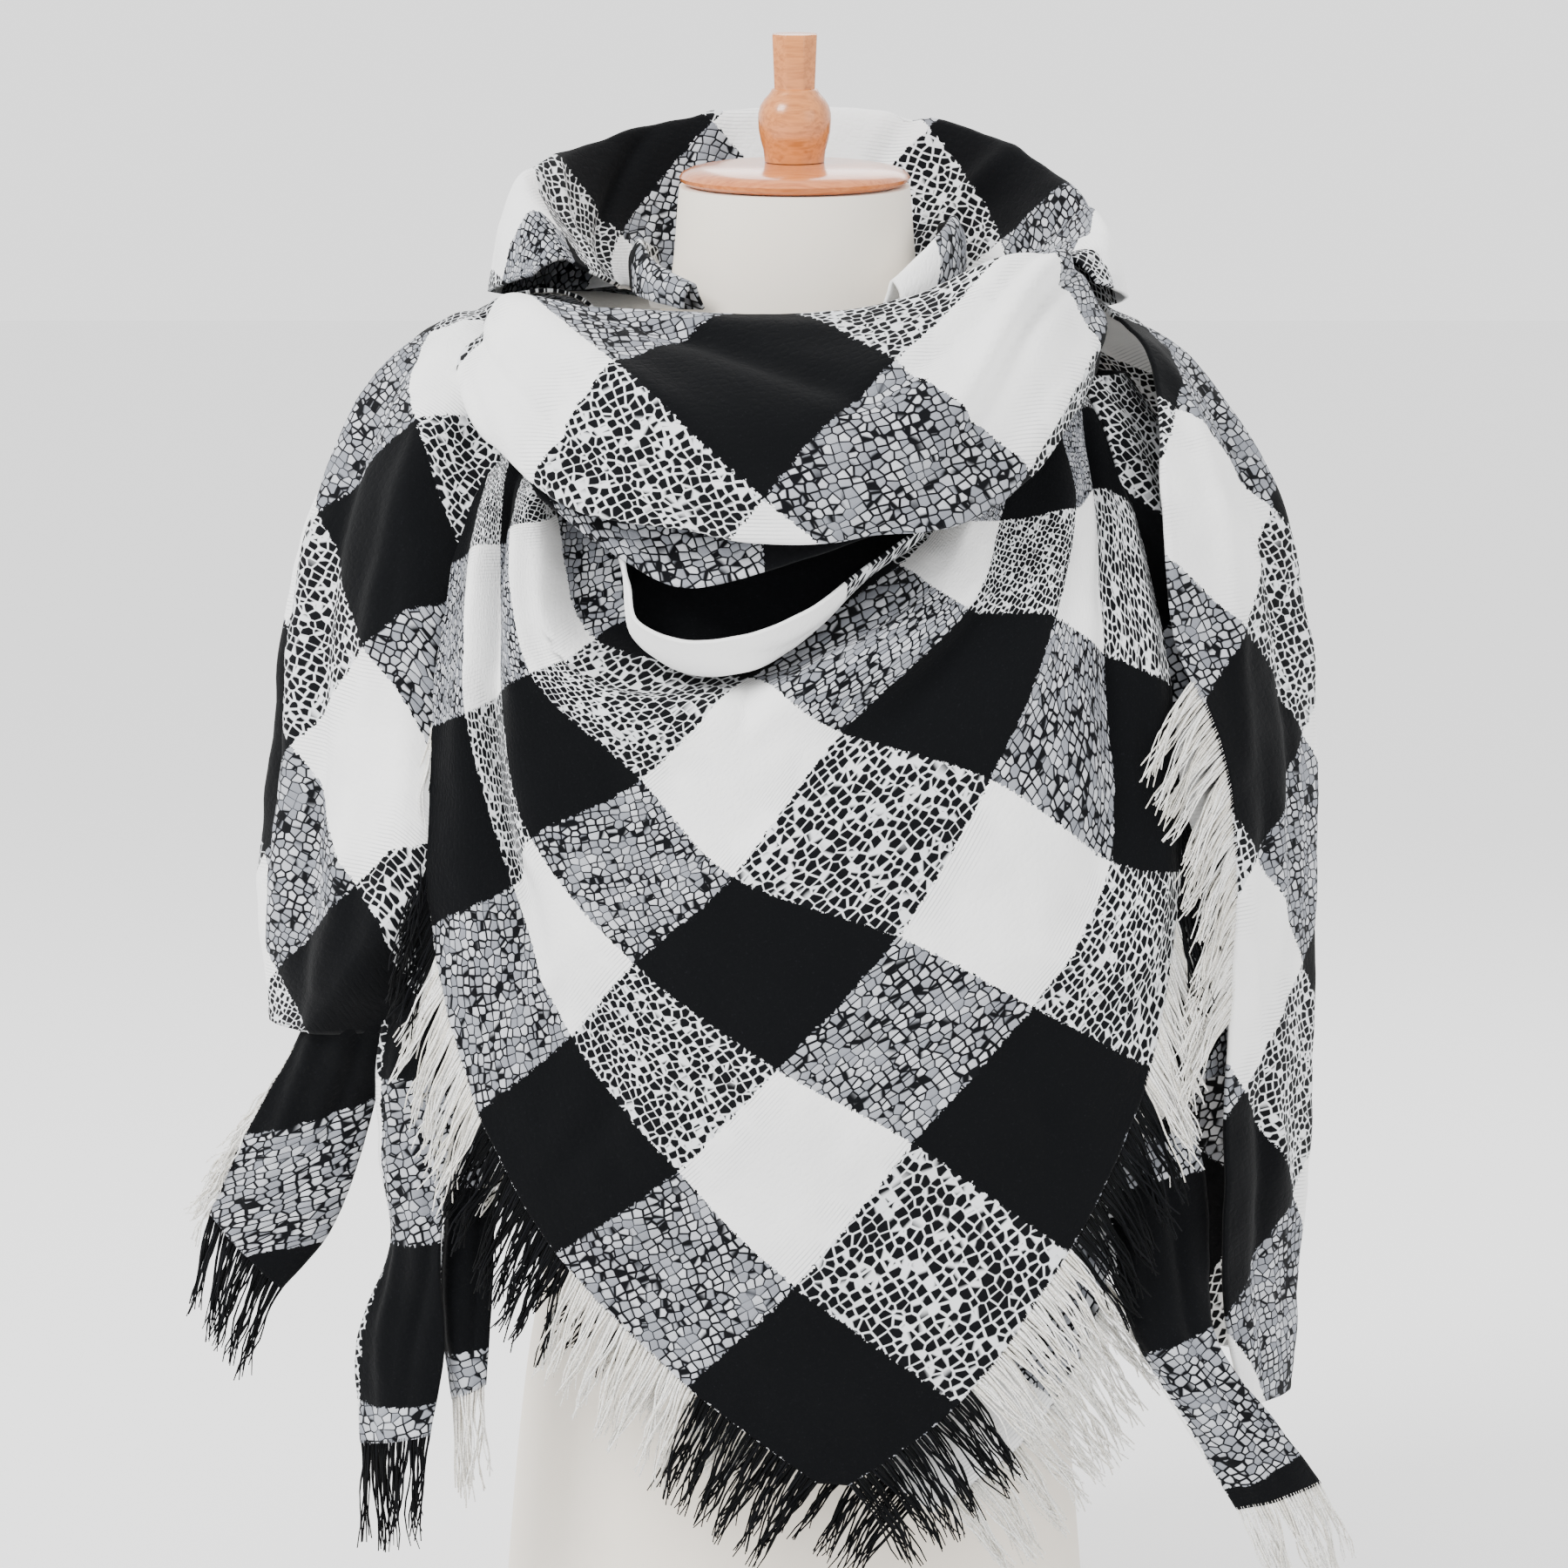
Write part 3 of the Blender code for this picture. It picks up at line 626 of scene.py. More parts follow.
        # Where the brushing is heavier the pebbles shrink and the dots close up.
        patchy = add(tree, "TexNoise", {}, {"Scale": 0.16, "Detail": 2.0}, {"Vector": threads}).outputs["Fac"]
        worn = maths("MULTIPLY", maths("SUBTRACT", patchy, 0.5), 0.22)
        speckle = maths("MULTIPLY", maths("SUBTRACT", cell_tone, 0.5), 0.07)
        pebbles = mix(between(maths("SUBTRACT", edges, maths("ADD", worn, speckle)), *self.outline),
                      self.dot, pebble_tone)
        dots = mix(between(maths("ADD", edges, maths("ADD", worn, speckle)), *self.dots), self.net, self.dot)
        rows = add(tree, "SeparateXYZ", {}, {}, {"Vector": threads}).outputs["Y"]
        ribs = maths("SINE", maths("MULTIPLY", rows, 2 * math.pi * 2.1))
        from_middle = maths("ABSOLUTE", maths("SUBTRACT", maths("FRACT", counts.outputs["Y"]), 0.5))
        near_edge = between(from_middle, 0.12, 0.5)
        rib_share = maths("MULTIPLY", maths("MULTIPLY", between(ribs, 0.3, 1.0), near_edge),
                          between(patchy, 0.38, 0.6))
        whites = mix(maths("MULTIPLY", rib_share, 0.6), self.white, self.rib)
        blacks = mix(maths("MULTIPLY", between(fuzz, 0.60, 0.72), 0.5), self.black, self.speck)

        even_row = mix(odd_j, blacks, pebbles)
        odd_row = mix(odd_j, dots, whites)
        woven = mix(odd_i, even_row, odd_row)
        shade = mix(maths("MULTIPLY", between(broad, 0.35, 0.7), 0.12), woven, "#6A6D74", "MULTIPLY")
        tree.links.new(shade, shader.inputs["Base Color"])

        mixed = maths("ABSOLUTE", maths("SUBTRACT", odd_i, odd_j))
        relief = maths("MULTIPLY", between(edges, 0.0, 0.32), maths("MULTIPLY_ADD", mixed, 0.6, 0.4))
        height = maths("ADD", maths("MULTIPLY", relief, 0.7), maths("MULTIPLY", fuzz, 0.5))
        bump = add(tree, "Bump", {}, {"Strength": 0.55, "Distance": 0.9 * MM}, {"Height": height})
        tree.links.new(bump.outputs["Normal"], shader.inputs["Normal"])
        return made


@dataclass(frozen=True)
class LooseYarn:
    """Soft spun acrylic yarn ends, dull and slightly hairy, in the colour of their check."""

    name: str = "spun_acrylic_yarn"

    def make(self) -> bpy.types.Material:
        """Build the material from the yarn's own colour attribute."""
        made, shader = start_material(self.name, "#E8E4DA", 0.95, {
            "Specular IOR Level": 0.1, "Sheen Weight": 0.02})
        tree = made.node_tree
        colour = add(tree, "VertexColor", {"layer_name": "yarn"}).outputs["Color"]
        place = add(tree, "TexCoord").outputs["Object"]
        twist = add(tree, "TexNoise", {}, {"Scale": 1400.0, "Detail": 2.0},
                    {"Vector": place}).outputs["Fac"]
        tone = add(tree, "Mix", {"data_type": "RGBA", "blend_type": "MULTIPLY"})
        tree.links.new(colour, tone.inputs[6])
        tone.inputs[7].default_value = srgb("#8D8F94")
        share = add(tree, "MapRange", {}, {"From Min": 0.45, "From Max": 0.7, "To Max": 0.6},
                    {"Value": twist})
        tree.links.new(share.outputs["Result"], tone.inputs[0])
        tree.links.new(tone.outputs[2], shader.inputs["Base Color"])
        bump = add(tree, "Bump", {}, {"Strength": 0.5, "Distance": 0.4 * MM}, {"Height": twist})
        tree.links.new(bump.outputs["Normal"], shader.inputs["Normal"])
        return made


@dataclass(frozen=True)
class FormCover:
    """Fine cotton jersey stretched over the padded form, matt and cream white."""

    name: str = "cotton_jersey_cover"
    colour: str = "#EEE6D9"
    pitch: float = 1.1 * MM

    def make(self) -> bpy.types.Material:
        """Build the material; the knit is drawn a little coarse so that it shows."""
        made, shader = start_material(self.name, self.colour, 0.85, {"Sheen Weight": 0.1})
        tree = made.node_tree
        place = add(tree, "TexCoord").outputs["Object"]
        knit = add(tree, "TexVoronoi", {"feature": "F1"}, {"Scale": 1 / self.pitch, "Randomness": 0.25},
                   {"Vector": place}).outputs["Distance"]
        cloud = add(tree, "TexNoise", {}, {"Scale": 9.0, "Detail": 3.0}, {"Vector": place}).outputs["Fac"]
        tone = add(tree, "Mix", {"data_type": "RGBA"})
        tree.links.new(cloud, tone.inputs[0])
        tone.inputs[6].default_value = srgb("#E9E0D2")
        tone.inputs[7].default_value = srgb("#F2EADD")
        tree.links.new(tone.outputs[2], shader.inputs["Base Color"])
        bump = add(tree, "Bump", {}, {"Strength": 0.25, "Distance": 0.3 * MM}, {"Height": knit})
        tree.links.new(bump.outputs["Normal"], shader.inputs["Normal"])
        return made


@dataclass(frozen=True)
class LacqueredBeech:
    """Turned beech under satin lacquer: warm tan with fine flecks along the grain."""

    name: str
    light: str
    dark: str
    roughness: float = 0.3

    def make(self) -> bpy.types.Material:
        """Build the material with its grain running across the turned piece."""
        made, shader = start_material(self.name, self.light, self.roughness, {
            "Coat Weight": 0.4, "Coat Roughness": 0.15})
        tree = made.node_tree
        place = add(tree, "TexCoord").outputs["Object"]
        drawn = add(tree, "Mapping", {}, {"Scale": (6.0, 60.0, 60.0)}, {"Vector": place}).outputs["Vector"]
        grain = add(tree, "TexNoise", {}, {"Scale": 8.0, "Detail": 5.0, "Distortion": 0.6},
                    {"Vector": drawn}).outputs["Fac"]
        share = add(tree, "MapRange", {}, {"From Min": 0.4, "From Max": 0.68}, {"Value": grain})
        tone = add(tree, "Mix", {"data_type": "RGBA"})
        tree.links.new(share.outputs["Result"], tone.inputs[0])
        tone.inputs[6].default_value = srgb(self.light)
        tone.inputs[7].default_value = srgb(self.dark)
        tree.links.new(tone.outputs[2], shader.inputs["Base Color"])
        bump = add(tree, "Bump", {}, {"Strength": 0.1, "Distance": 0.2 * MM}, {"Height": grain})
        tree.links.new(bump.outputs["Normal"], shader.inputs["Normal"])
        return made


# ---------------------------------------------------------------- stretches of cloth


@dataclass(frozen=True)
class Crease:
    """A soft trough or ridge between two places of a stretch of cloth.

    Places are shares across and down, or checks counted on the triangle. Width, depth and
    bow are in millimetres; a depth below 0 is a trough.
    """

    start: Place
    end: Place
    width: float
    depth: float
    bow: float = 0

    def lift(self, plane: np.ndarray, start: np.ndarray, end: np.ndarray) -> np.ndarray:
        """Give how far each place of the cloth is moved out, in metres."""
        way = end - start
        length = float(np.linalg.norm(way))
        way = way / length
        side = np.array([-way[1], way[0]])
        reach = (plane - start) @ way / length
        beside = (plane - start) @ side - self.bow * MM * 4 * reach * (1 - reach)
        inside = np.clip(np.minimum(reach + 0.15, 1.15 - reach) / 0.4, 0, 1)
        taper = inside * inside * (3 - 2 * inside)
        return self.depth * MM * np.exp(-(beside / (self.width * MM)) ** 2) * taper


@dataclass(frozen=True)
class Weave:
    """How the check lies on a stretch: where one crossing is, its turn and its size.

    The first count runs up to the right and the second up to the left, at 45 degrees
    plus the turn; flip_across and flip_up are for surfaces set out the other way.
    """

    place: Place = (0.5, 0.5)
    crossing: Place = (0.0, 0.0)
    turn: float = 0
    check: float = CHECK
    flip_across: bool = False
    flip_up: bool = False

    def counts(self, lengths: np.ndarray, origin: np.ndarray) -> np.ndarray:
        """Turn lengths along the cloth into counts of checks."""
        off = lengths - origin
        right = off[..., 0] * (-1 if self.flip_across else 1)
        up = off[..., 1] * (1 if self.flip_up else -1)
        angle = math.radians(45 + self.turn)
        first = (right * math.cos(angle) + up * math.sin(angle)) / self.check + self.crossing[0]
        second = (-right * math.sin(angle) + up * math.cos(angle)) / self.check + self.crossing[1]
        return np.stack([first, second], axis=-1)


@dataclass
class Stretch:
    """One stretch of cloth: a thin shell on its surface with creases, check and threads."""

    node: str
    surface: Surface
    size: tuple[int, int]
    facets: tuple[int, int]
    cut: Place
    cut_area: float
    held: Held
    rests_on: tuple[str, ...]
    weave: Weave = Weave()
    creases: tuple[Crease, ...] = ()
    wrinkle: float = 1.2
    counts: Callable[[float, float], Place] | None = None
    count_scale: float = 1.0
    seated: Surface | None = None
    points: np.ndarray = field(init=False, default=None)
    normals: np.ndarray = field(init=False, default=None)

    @property
    def name(self) -> str:
        """Name the finished piece."""
        return self.node + "_cloth"

    def shift(self) -> Vector:
        """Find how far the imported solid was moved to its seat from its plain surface."""
        across, down = self.facets
        solid = self.seated or self.surface
        places = [solid(c / across, r / down) for r in range(down + 1) for c in range(across + 1)]
        low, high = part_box(self.node)
        return Vector([(low[k] + high[k]) / 2 - (min(p[k] for p in places) + max(p[k] for p in places)) / 2
                       for k in range(3)])

    def lay_out(self) -> tuple[np.ndarray, np.ndarray, np.ndarray]:
        """Set out the plain surface, its lengths along the cloth and its counts of checks."""
        columns, rows = self.size
        moved = self.shift()
        flat = [[self.surface(c / columns, r / rows) + moved for c in range(columns + 1)]
                for r in range(rows + 1)]
        points = np.array([[tuple(p) for p in row] for row in flat])
        if self.counts:
            counts = np.array([[self.counts(c / columns, r / rows) for c in range(columns + 1)]
                               for r in range(rows + 1)])
            if self.count_scale:
                return points, counts * CHECK, counts
        right = np.zeros(points.shape[:2])
        right[:, 1:] = np.cumsum(np.linalg.norm(np.diff(points, axis=1), axis=2), axis=1)
        right -= right[:, columns // 2:columns // 2 + 1]
        down = np.zeros(points.shape[:2])
        down[1:, :] = np.cumsum(np.linalg.norm(np.diff(points, axis=0), axis=2), axis=0)
        lengths = np.stack([right, down], axis=-1)
        if self.counts:
            return points, lengths, counts
        return points, lengths, self.weave.counts(lengths, self.at(lengths, self.weave.place))

    def at(self, grid: np.ndarray, place: Place) -> np.ndarray:
        """Read a grid at a place: shares across and down, or counts on the triangle."""
        if self.counts and self.count_scale:
            return np.array(place) * CHECK
        columns, rows = self.size
        return grid[round(place[1] * rows), round(place[0] * columns)]

    def crumple(self, points: np.ndarray, lengths: np.ndarray) -> np.ndarray:
        """Move the surface out and in by its creases and a slight unevenness."""
        down, across = np.gradient(points, axis=0), np.gradient(points, axis=1)
        normals = np.cross(across, down)
        normals /= np.maximum(np.linalg.norm(normals, axis=2, keepdims=True), 1e-9)
        outward = points * np.array([1, 1, 0])
        if float((normals * outward).sum()) < 0:
            normals = -normals
        lift = np.zeros(points.shape[:2])
        for crease in self.creases:
            lift += crease.lift(lengths, self.at(lengths, crease.start), self.at(lengths, crease.end))
        uneven = np.array([[noise.noise(Vector(p) * 24) + 0.4 * noise.noise(Vector(p) * 70) for p in row]
                           for row in points])
        self.normals = normals
        return points + normals * (lift + self.wrinkle * MM * uneven)[..., None]

    def build(self, material: bpy.types.Material) -> bpy.types.Object:
        plain, lengths, counts = self.lay_out()
        self.points = self.crumple(plain, lengths)
        columns, rows = self.size
        index = np.arange((rows + 1) * (columns + 1)).reshape(rows + 1, columns + 1)
        quads = np.stack([index[:-1, :-1], index[1:, :-1], index[1:, 1:], index[:-1, 1:]], axis=-1)
        mesh = bpy.data.meshes.new(self.name)
        mesh.from_pydata(self.points.reshape(-1, 3).tolist(), [], quads.reshape(-1, 4).tolist())
        corners = np.empty(len(mesh.loops), dtype=np.int32)
        mesh.loops.foreach_get("vertex_index", corners)
        for layer, values in (("checks", counts), ("threads", lengths / THREAD)):
            uv = mesh.uv_layers.new(name=layer)
            uv.data.foreach_set("uv", values.reshape(-1, 2)[corners].astype(np.float32).ravel())
        mesh.shade_smooth()
        mesh.materials.append(material)
        piece = bpy.data.objects.new(self.name, mesh)
        bpy.context.scene.collection.objects.link(piece)
        shell = piece.modifiers.new("wall", "SOLIDIFY")
        shell.thickness = WALL
        shell.offset = 0
        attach(piece, "root")
        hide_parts(self.node)
        LOG.info("laid %s, %d quads", self.name, columns * rows)
        return piece


@dataclass
class YarnRun:
    """A run of loose yarn ends along one edge of a stretch, as one joined mesh."""

    node: str
    side: Side
    share: Place
    tone: Tone
    droop: float = 0.3
    reach: float = FRINGE
    pitch: float = 1.55 * MM
    inward: Surface | None = None
    seed: int = 1
    radius: float = 0.62 * MM
    fall: float = 0.22
    label: str = "_yarn"
    gather: float = 0.75
    SIDES = 4
    STEPS = 8

    @property
    def name(self) -> str:
        """Name the finished piece."""
        return self.node + self.label

    def edge(self, cloth: Stretch) -> tuple[np.ndarray, np.ndarray, np.ndarray]:
        """Read the edge of the cloth, the places just inside it and its normals."""
        points, normals = cloth.points, cloth.normals
        inside = 5
        if self.side is Side.FIRST:
            return points[:, 0], points[:, inside], normals[:, 0]
        if self.side is Side.LAST:
            return points[:, -1], points[:, -1 - inside], normals[:, -1]
        return points[-1], points[-1 - inside], normals[-1]

    def colour(self, share: float, count: float, chance: random.Random) -> tuple[float, float, float, float]:
        """Choose the colour of one yarn end."""
        dark = self.tone is Tone.BLACK or (self.tone is Tone.BY_CHECK and int(count) % 2 == 0)
        palette = ("#08090B", "#0E0F12", "#050607") if dark else ("#F4F2EC", "#EBE7DD", "#FAF9F5")
        return srgb(chance.choice(palette))

    def build(self, cloth: Stretch, material: bpy.types.Material,
              counter: Callable[[float], float] | None = None) -> bpy.types.Object:
        """Build the yarn ends.

        Args:
            cloth: The stretch that they leave.
            material: The yarn's finish.
            counter: Gives the checks counted at a share along the edge.

        Returns:
            The joined piece.
        """
        chance = random.Random(self.seed)
        edge, inside, normals = self.edge(cloth)
        lengths = np.concatenate([[0], np.cumsum(np.linalg.norm(np.diff(edge, axis=0), axis=1))])
        total = lengths[-1]
        low, high = (share * total for share in self.share)
        ends = int((high - low) / self.pitch)
        verts, faces, colours = [], [], []
        clump, centre, left = 0.0, low, 0
        for number in range(ends * 2):
            spot = low + (high - low) * (number // 2 + chance.uniform(0.1, 0.9)) / ends
            if left == 0:
                clump, left = chance.uniform(-1, 1), chance.randint(8, 20)
                centre = spot + left * (high - low) / ends / 4
            left -= 1
            root, behind, normal = (Vector([np.interp(spot, lengths, rows[:, k]) for k in range(3)])
                                    for rows in (edge, inside, normals))
            share = spot / total
            way = (root - (self.inward(share, 0) if self.inward else behind)).normalized()
            way = (way + Vector((0, 0, -self.droop))).normalized()
            normal = (normal - way * normal.dot(way)).normalized()
            beyond = Vector([np.interp(min(spot + MM, total), lengths, edge[:, k]) for k in range(3)])
            tangent = way.cross(normal).normalized()
            if tangent.dot(beyond - root) < 0:
                tangent.negate()
            length = self.reach * chance.uniform(0.72, 1.0)
            layer = (0.55 if number % 2 else -0.55) * MM
            sway = (centre - spot) * self.gather + (clump * 4 + chance.gauss(0, 1.6)) * MM
            wave, phase = chance.uniform(0.8, 3.0) * MM, chance.uniform(0, 6.28)
            puff = chance.gauss(0.8, 2.0) * MM
            tint = self.colour(share, counter(share) if counter else 0, chance)
            first = len(verts)
            for step in range(self.STEPS + 1):
                part = step / self.STEPS
                middle = (root - way * 1.5 * MM + way * length * part + normal * (layer + puff * part)
                          + tangent * (sway * part ** 1.5 + wave * part * math.sin(phase + part * 8))
                          + normal * wave * 0.5 * part * math.cos(phase + part * 7)
                          - Vector((0, 0, self.fall * length * part ** 2)))
                thick = self.radius * (1 - 0.45 * part ** 2)
                for corner in range(self.SIDES):
                    angle = 2 * math.pi * corner / self.SIDES + part * 2
                    verts.append(middle + (tangent * math.cos(angle) + normal * math.sin(angle)) * thick)
                    colours.append(tint)
            for step in range(self.STEPS):
                for corner in range(self.SIDES):
                    here = first + step * self.SIDES + corner
                    after = first + step * self.SIDES + (corner + 1) % self.SIDES
                    faces.append((here, after, after + self.SIDES, here + self.SIDES))
            faces.append(tuple(first + corner for corner in reversed(range(self.SIDES))))
            faces.append(tuple(first + self.STEPS * self.SIDES + corner for corner in range(self.SIDES)))
        mesh = bpy.data.meshes.new(self.name)
        mesh.from_pydata([tuple(v) for v in verts], [], faces)
        layer = mesh.color_attributes.new("yarn", "FLOAT_COLOR", "POINT")
        layer.data.foreach_set("color", np.array(colours, dtype=np.float32).ravel())
        mesh.shade_smooth()
        mesh.materials.append(material)
        piece = bpy.data.objects.new(self.name, mesh)
        bpy.context.scene.collection.objects.link(piece)
        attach(piece, "root")
        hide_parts(self.node)
        LOG.info("let out %s, %d ends", self.name, ends * 2)
        return piece


@dataclass
class Finishes:
    """The scene's finishes, each made once."""

    cloth: bpy.types.Material
    yarn: bpy.types.Material


@dataclass
class FrontTriangle:
    """The two layers of the triangle that hangs in front, with their fringes."""

    finishes: Finishes
    left_reach: float = 5.2
    right_reach: float = 4.6

    def side_count(self, share: float) -> float:
        """Give the checks counted up a selvedge at a share of its length."""
        return BIB_TIP + (BIB_TOP[0] - BIB_TIP) * share

    def front(self) -> Stretch:
        """Lay out the upper layer with its creases."""
        creases = (
            Crease((2.7, 6.7), (0.75, 3.0), 34, -9, 0),
            Crease((1.5, 6.6), (0.15, 3.3), 32, 6, 0),
            Crease((3.5, 6.3), (1.7, 3.2), 30, 6, -12),
            Crease((3.4, 5.2), (2.2, 3.0), 17, -4, 8),
            Crease((3.6, 5.3), (5.3, 3.6), 18, -6, -46),
            Crease((3.0, 5.2), (5.2, 3.0), 22, 6, -40),
            Crease((2.4, 4.4), (4.6, 2.6), 20, -4, -34),
            Crease((6.9, 1.0), (3.4, 1.15), 19, -8, 4),
            Crease((6.7, 2.2), (4.0, 2.0), 22, 6, -5),
            Crease((6.2, 0.3), (3.2, 0.4), 16, 5, 4),
            Crease((5.9, 3.0), (4.1, 2.8), 15, -4, 6),
            Crease((0.5, 0.5), (2.8, 2.6), 34, 5, 6),
            Crease((0.2, 1.5), (1.9, 2.3), 16, -4, 6),
            Crease((1.6, 0.3), (2.6, 1.9), 15, -4, -6),
            Crease((0.3, 3.1), (1.6, 3.5), 11, 4, 3),
            Crease((3.6, 0.2), (3.2, 1.8), 12, 4, 5),
            Crease((2.4, 0.2), (2.9, 1.2), 9, -3, 3),
            Crease((0.2, 2.4), (1.2, 2.6), 9, -3, -3),
        )
        return Stretch("bib_front", bib, (150, 150), (16, 18), (0.80, 0.42), 0.165, Held.DRAPED,
                       ("shoulder_left", "shoulder_right", "form_torso"), creases=creases,
                       counts=bib_counts, wrinkle=2.6)

    def below(self) -> Stretch:
        """Lay out the second layer."""
        return Stretch("bib_under", under, (90, 90), (8, 8), (0.30, 0.30), 0.066, Held.DRAPED,
                       ("bib_front",), Weave((0, 0), (1.0, 2.0), turn=-45),
                       (Crease((0.1, 0.1), (0.8, 0.6), 16, 3),), wrinkle=1.5)

    def build(self) -> None:
        """Build both layers and let out their yarn ends."""
        cloth = self.front()
        piece = cloth.build(self.finishes.cloth)
        top = BIB_TOP[0] - BIB_TIP
        left = YarnRun("bib_fringe_left", Side.FIRST, (0.0, self.left_reach / top), Tone.BY_CHECK, 0.35,
                       inward=lambda share, _k: bib_place(0.5, self.side_count(share)), seed=11)
        right = YarnRun("bib_fringe_right", Side.LAST, (0.0, self.right_reach / top), Tone.BY_CHECK, 0.35,
                        inward=lambda share, _k: bib_place(self.side_count(share), 0.5), seed=12)
        yarns = [run.build(cloth, self.finishes.yarn, self.side_count) for run in (left, right)]
        cloth = self.below()
        piece = cloth.build(self.finishes.cloth)
        runs = (YarnRun("under_fringe_right", Side.END, (0.03, 0.68), Tone.CREAM, seed=13),
                YarnRun("under_fringe_left", Side.FIRST, (0.03, 0.93), Tone.BY_CHECK, seed=14))
        yarns = [self.top_edge(cloth, runs[0]), runs[1].build(cloth, self.finishes.yarn, lambda s: 3.4 * s)]

    def top_edge(self, cloth: Stretch, run: YarnRun) -> bpy.types.Object:
        """Let out the yarn ends of the second layer's right edge, its first row."""
        turned = Stretch(cloth.node, cloth.surface, cloth.size, cloth.facets, cloth.cut, cloth.cut_area,
                         cloth.held, cloth.rests_on)
        turned.points, turned.normals = cloth.points[::-1], cloth.normals[::-1]
        return run.build(turned, self.finishes.yarn)


@dataclass
class Cowl:
    """The turned flap, the roll under it, the hanging fold and the folds that stand."""

    finishes: Finishes

    def stretches(self) -> list[Stretch]:
        """Lay out the cowl's stretches."""
        flap = Stretch(
            "cowl_flap", band(COWL_FLAP, (16, -20), (22, 8)), (150, 60), (18, 8), (0.42, 0.19), 0.074,
            Held.FOLDED, ("shoulder_left", "shoulder_right"), Weave((0.51, 0.65), (0, 0), check=100 * MM),
            (
                Crease((0.08, 0.34), (0.44, 0.80), 10, -6, 5),
                Crease((0.16, 0.27), (0.52, 0.66), 12, 6, -7),
                Crease((0.28, 0.22), (0.62, 0.52), 10, -5, -7),
                Crease((0.60, 0.76), (0.93, 0.32), 8, -7, 6),
                Crease((0.64, 0.64), (0.91, 0.24), 9, 7, 6),
                Crease((0.58, 0.52), (0.86, 0.23), 8, -5, 5),
                Crease((0.72, 0.72), (0.97, 0.48), 7, 5, 4),
                Crease((0.04, 0.30), (0.20, 0.74), 8, 5, 4),
                Crease((0.36, 0.70), (0.68, 0.74), 8, 4, -4),
                Crease((0.38, 0.30), (0.60, 0.34), 9, 3, -4),
            ))
        roll = Stretch(
            "cowl_roll", band(COWL_ROLL, (6, 10), (14, 8)), (80, 36), (10, 6), (0.24, 0.09), 0.0175,
            Held.FOLDED, ("cowl_flap",), Weave((0.60, 0.5), (0.5, 1.0), turn=45, check=120 * MM),
            (Crease((0.1, 0.4), (0.6, 0.6), 6, 2.5, 3), Crease((0.45, 0.35), (0.95, 0.45), 5, -2.5, 2)))
        hanging = Stretch(
            "cowl_swag", swag, (70, 60), (10, 8), (0.14, 0.12), 0.0145, Held.DRAPED, ("bib_front",),
            creases=(Crease((0.05, 0.72), (0.95, 0.72), 3, 1.6), Crease((0.10, 0.95), (0.50, 0.62), 4, -2),
                     Crease((0.50, 0.90), (0.90, 0.60), 4, 2)), wrinkle=1.6,
            counts=swag_counts, count_scale=0.0, seated=seated_swag)
        collar = Stretch(
            "collar", stand(COLLAR), (160, 70), (20, 8), (0.50, 0.20), 0.090, Held.FOLDED,
            ("shoulder_left", "shoulder_right", "nape_wrap"),
            Weave((0.25, 0.20), (0, 0), flip_up=True),
            (
                Crease((0.05, 0.10), (0.22, 0.52), 7, 4, 3),
                Crease((0.14, 0.05), (0.34, 0.50), 6, -4, 4),
                Crease((0.30, 0.02), (0.40, 0.55), 8, 4, -3),
                Crease((0.52, 0.04), (0.60, 0.60), 7, -4, 4),
                Crease((0.64, 0.05), (0.70, 0.55), 8, 5, 4),
                Crease((0.78, 0.08), (0.80, 0.60), 7, -4.5, -4),
                Crease((0.88, 0.10), (0.93, 0.70), 7, 4, 3),
                Crease((0.20, 0.70), (0.50, 0.82), 8, 3.5, 3),
                Crease((0.55, 0.80), (0.85, 0.66), 8, -3.5, 3),
            ), wrinkle=2.0, seated=stand(COLLAR[1:-1]))
        folds = [
            Stretch("neck_fold_left", stand(NECK_FOLD_LEFT), (40, 24), (6, 6), (0.10, 0.052), 0.005,
                    Held.FOLDED, ("form_torso",), Weave((0.45, 0.5), (0, 0), flip_up=True), wrinkle=1.0),
            Stretch("neck_fold_right", stand(NECK_FOLD_RIGHT), (40, 24), (6, 6), (0.10, 0.068), 0.0066,
                    Held.FOLDED, ("form_torso",), Weave((0.5, 0.2), (0, 1), flip_up=True), wrinkle=1.0),
        ]
        return [flap, roll, hanging, collar, *folds]

    def build(self) -> None:
        """Build the cowl's stretches."""
        for cloth in self.stretches():
            cloth.build(self.finishes.cloth)


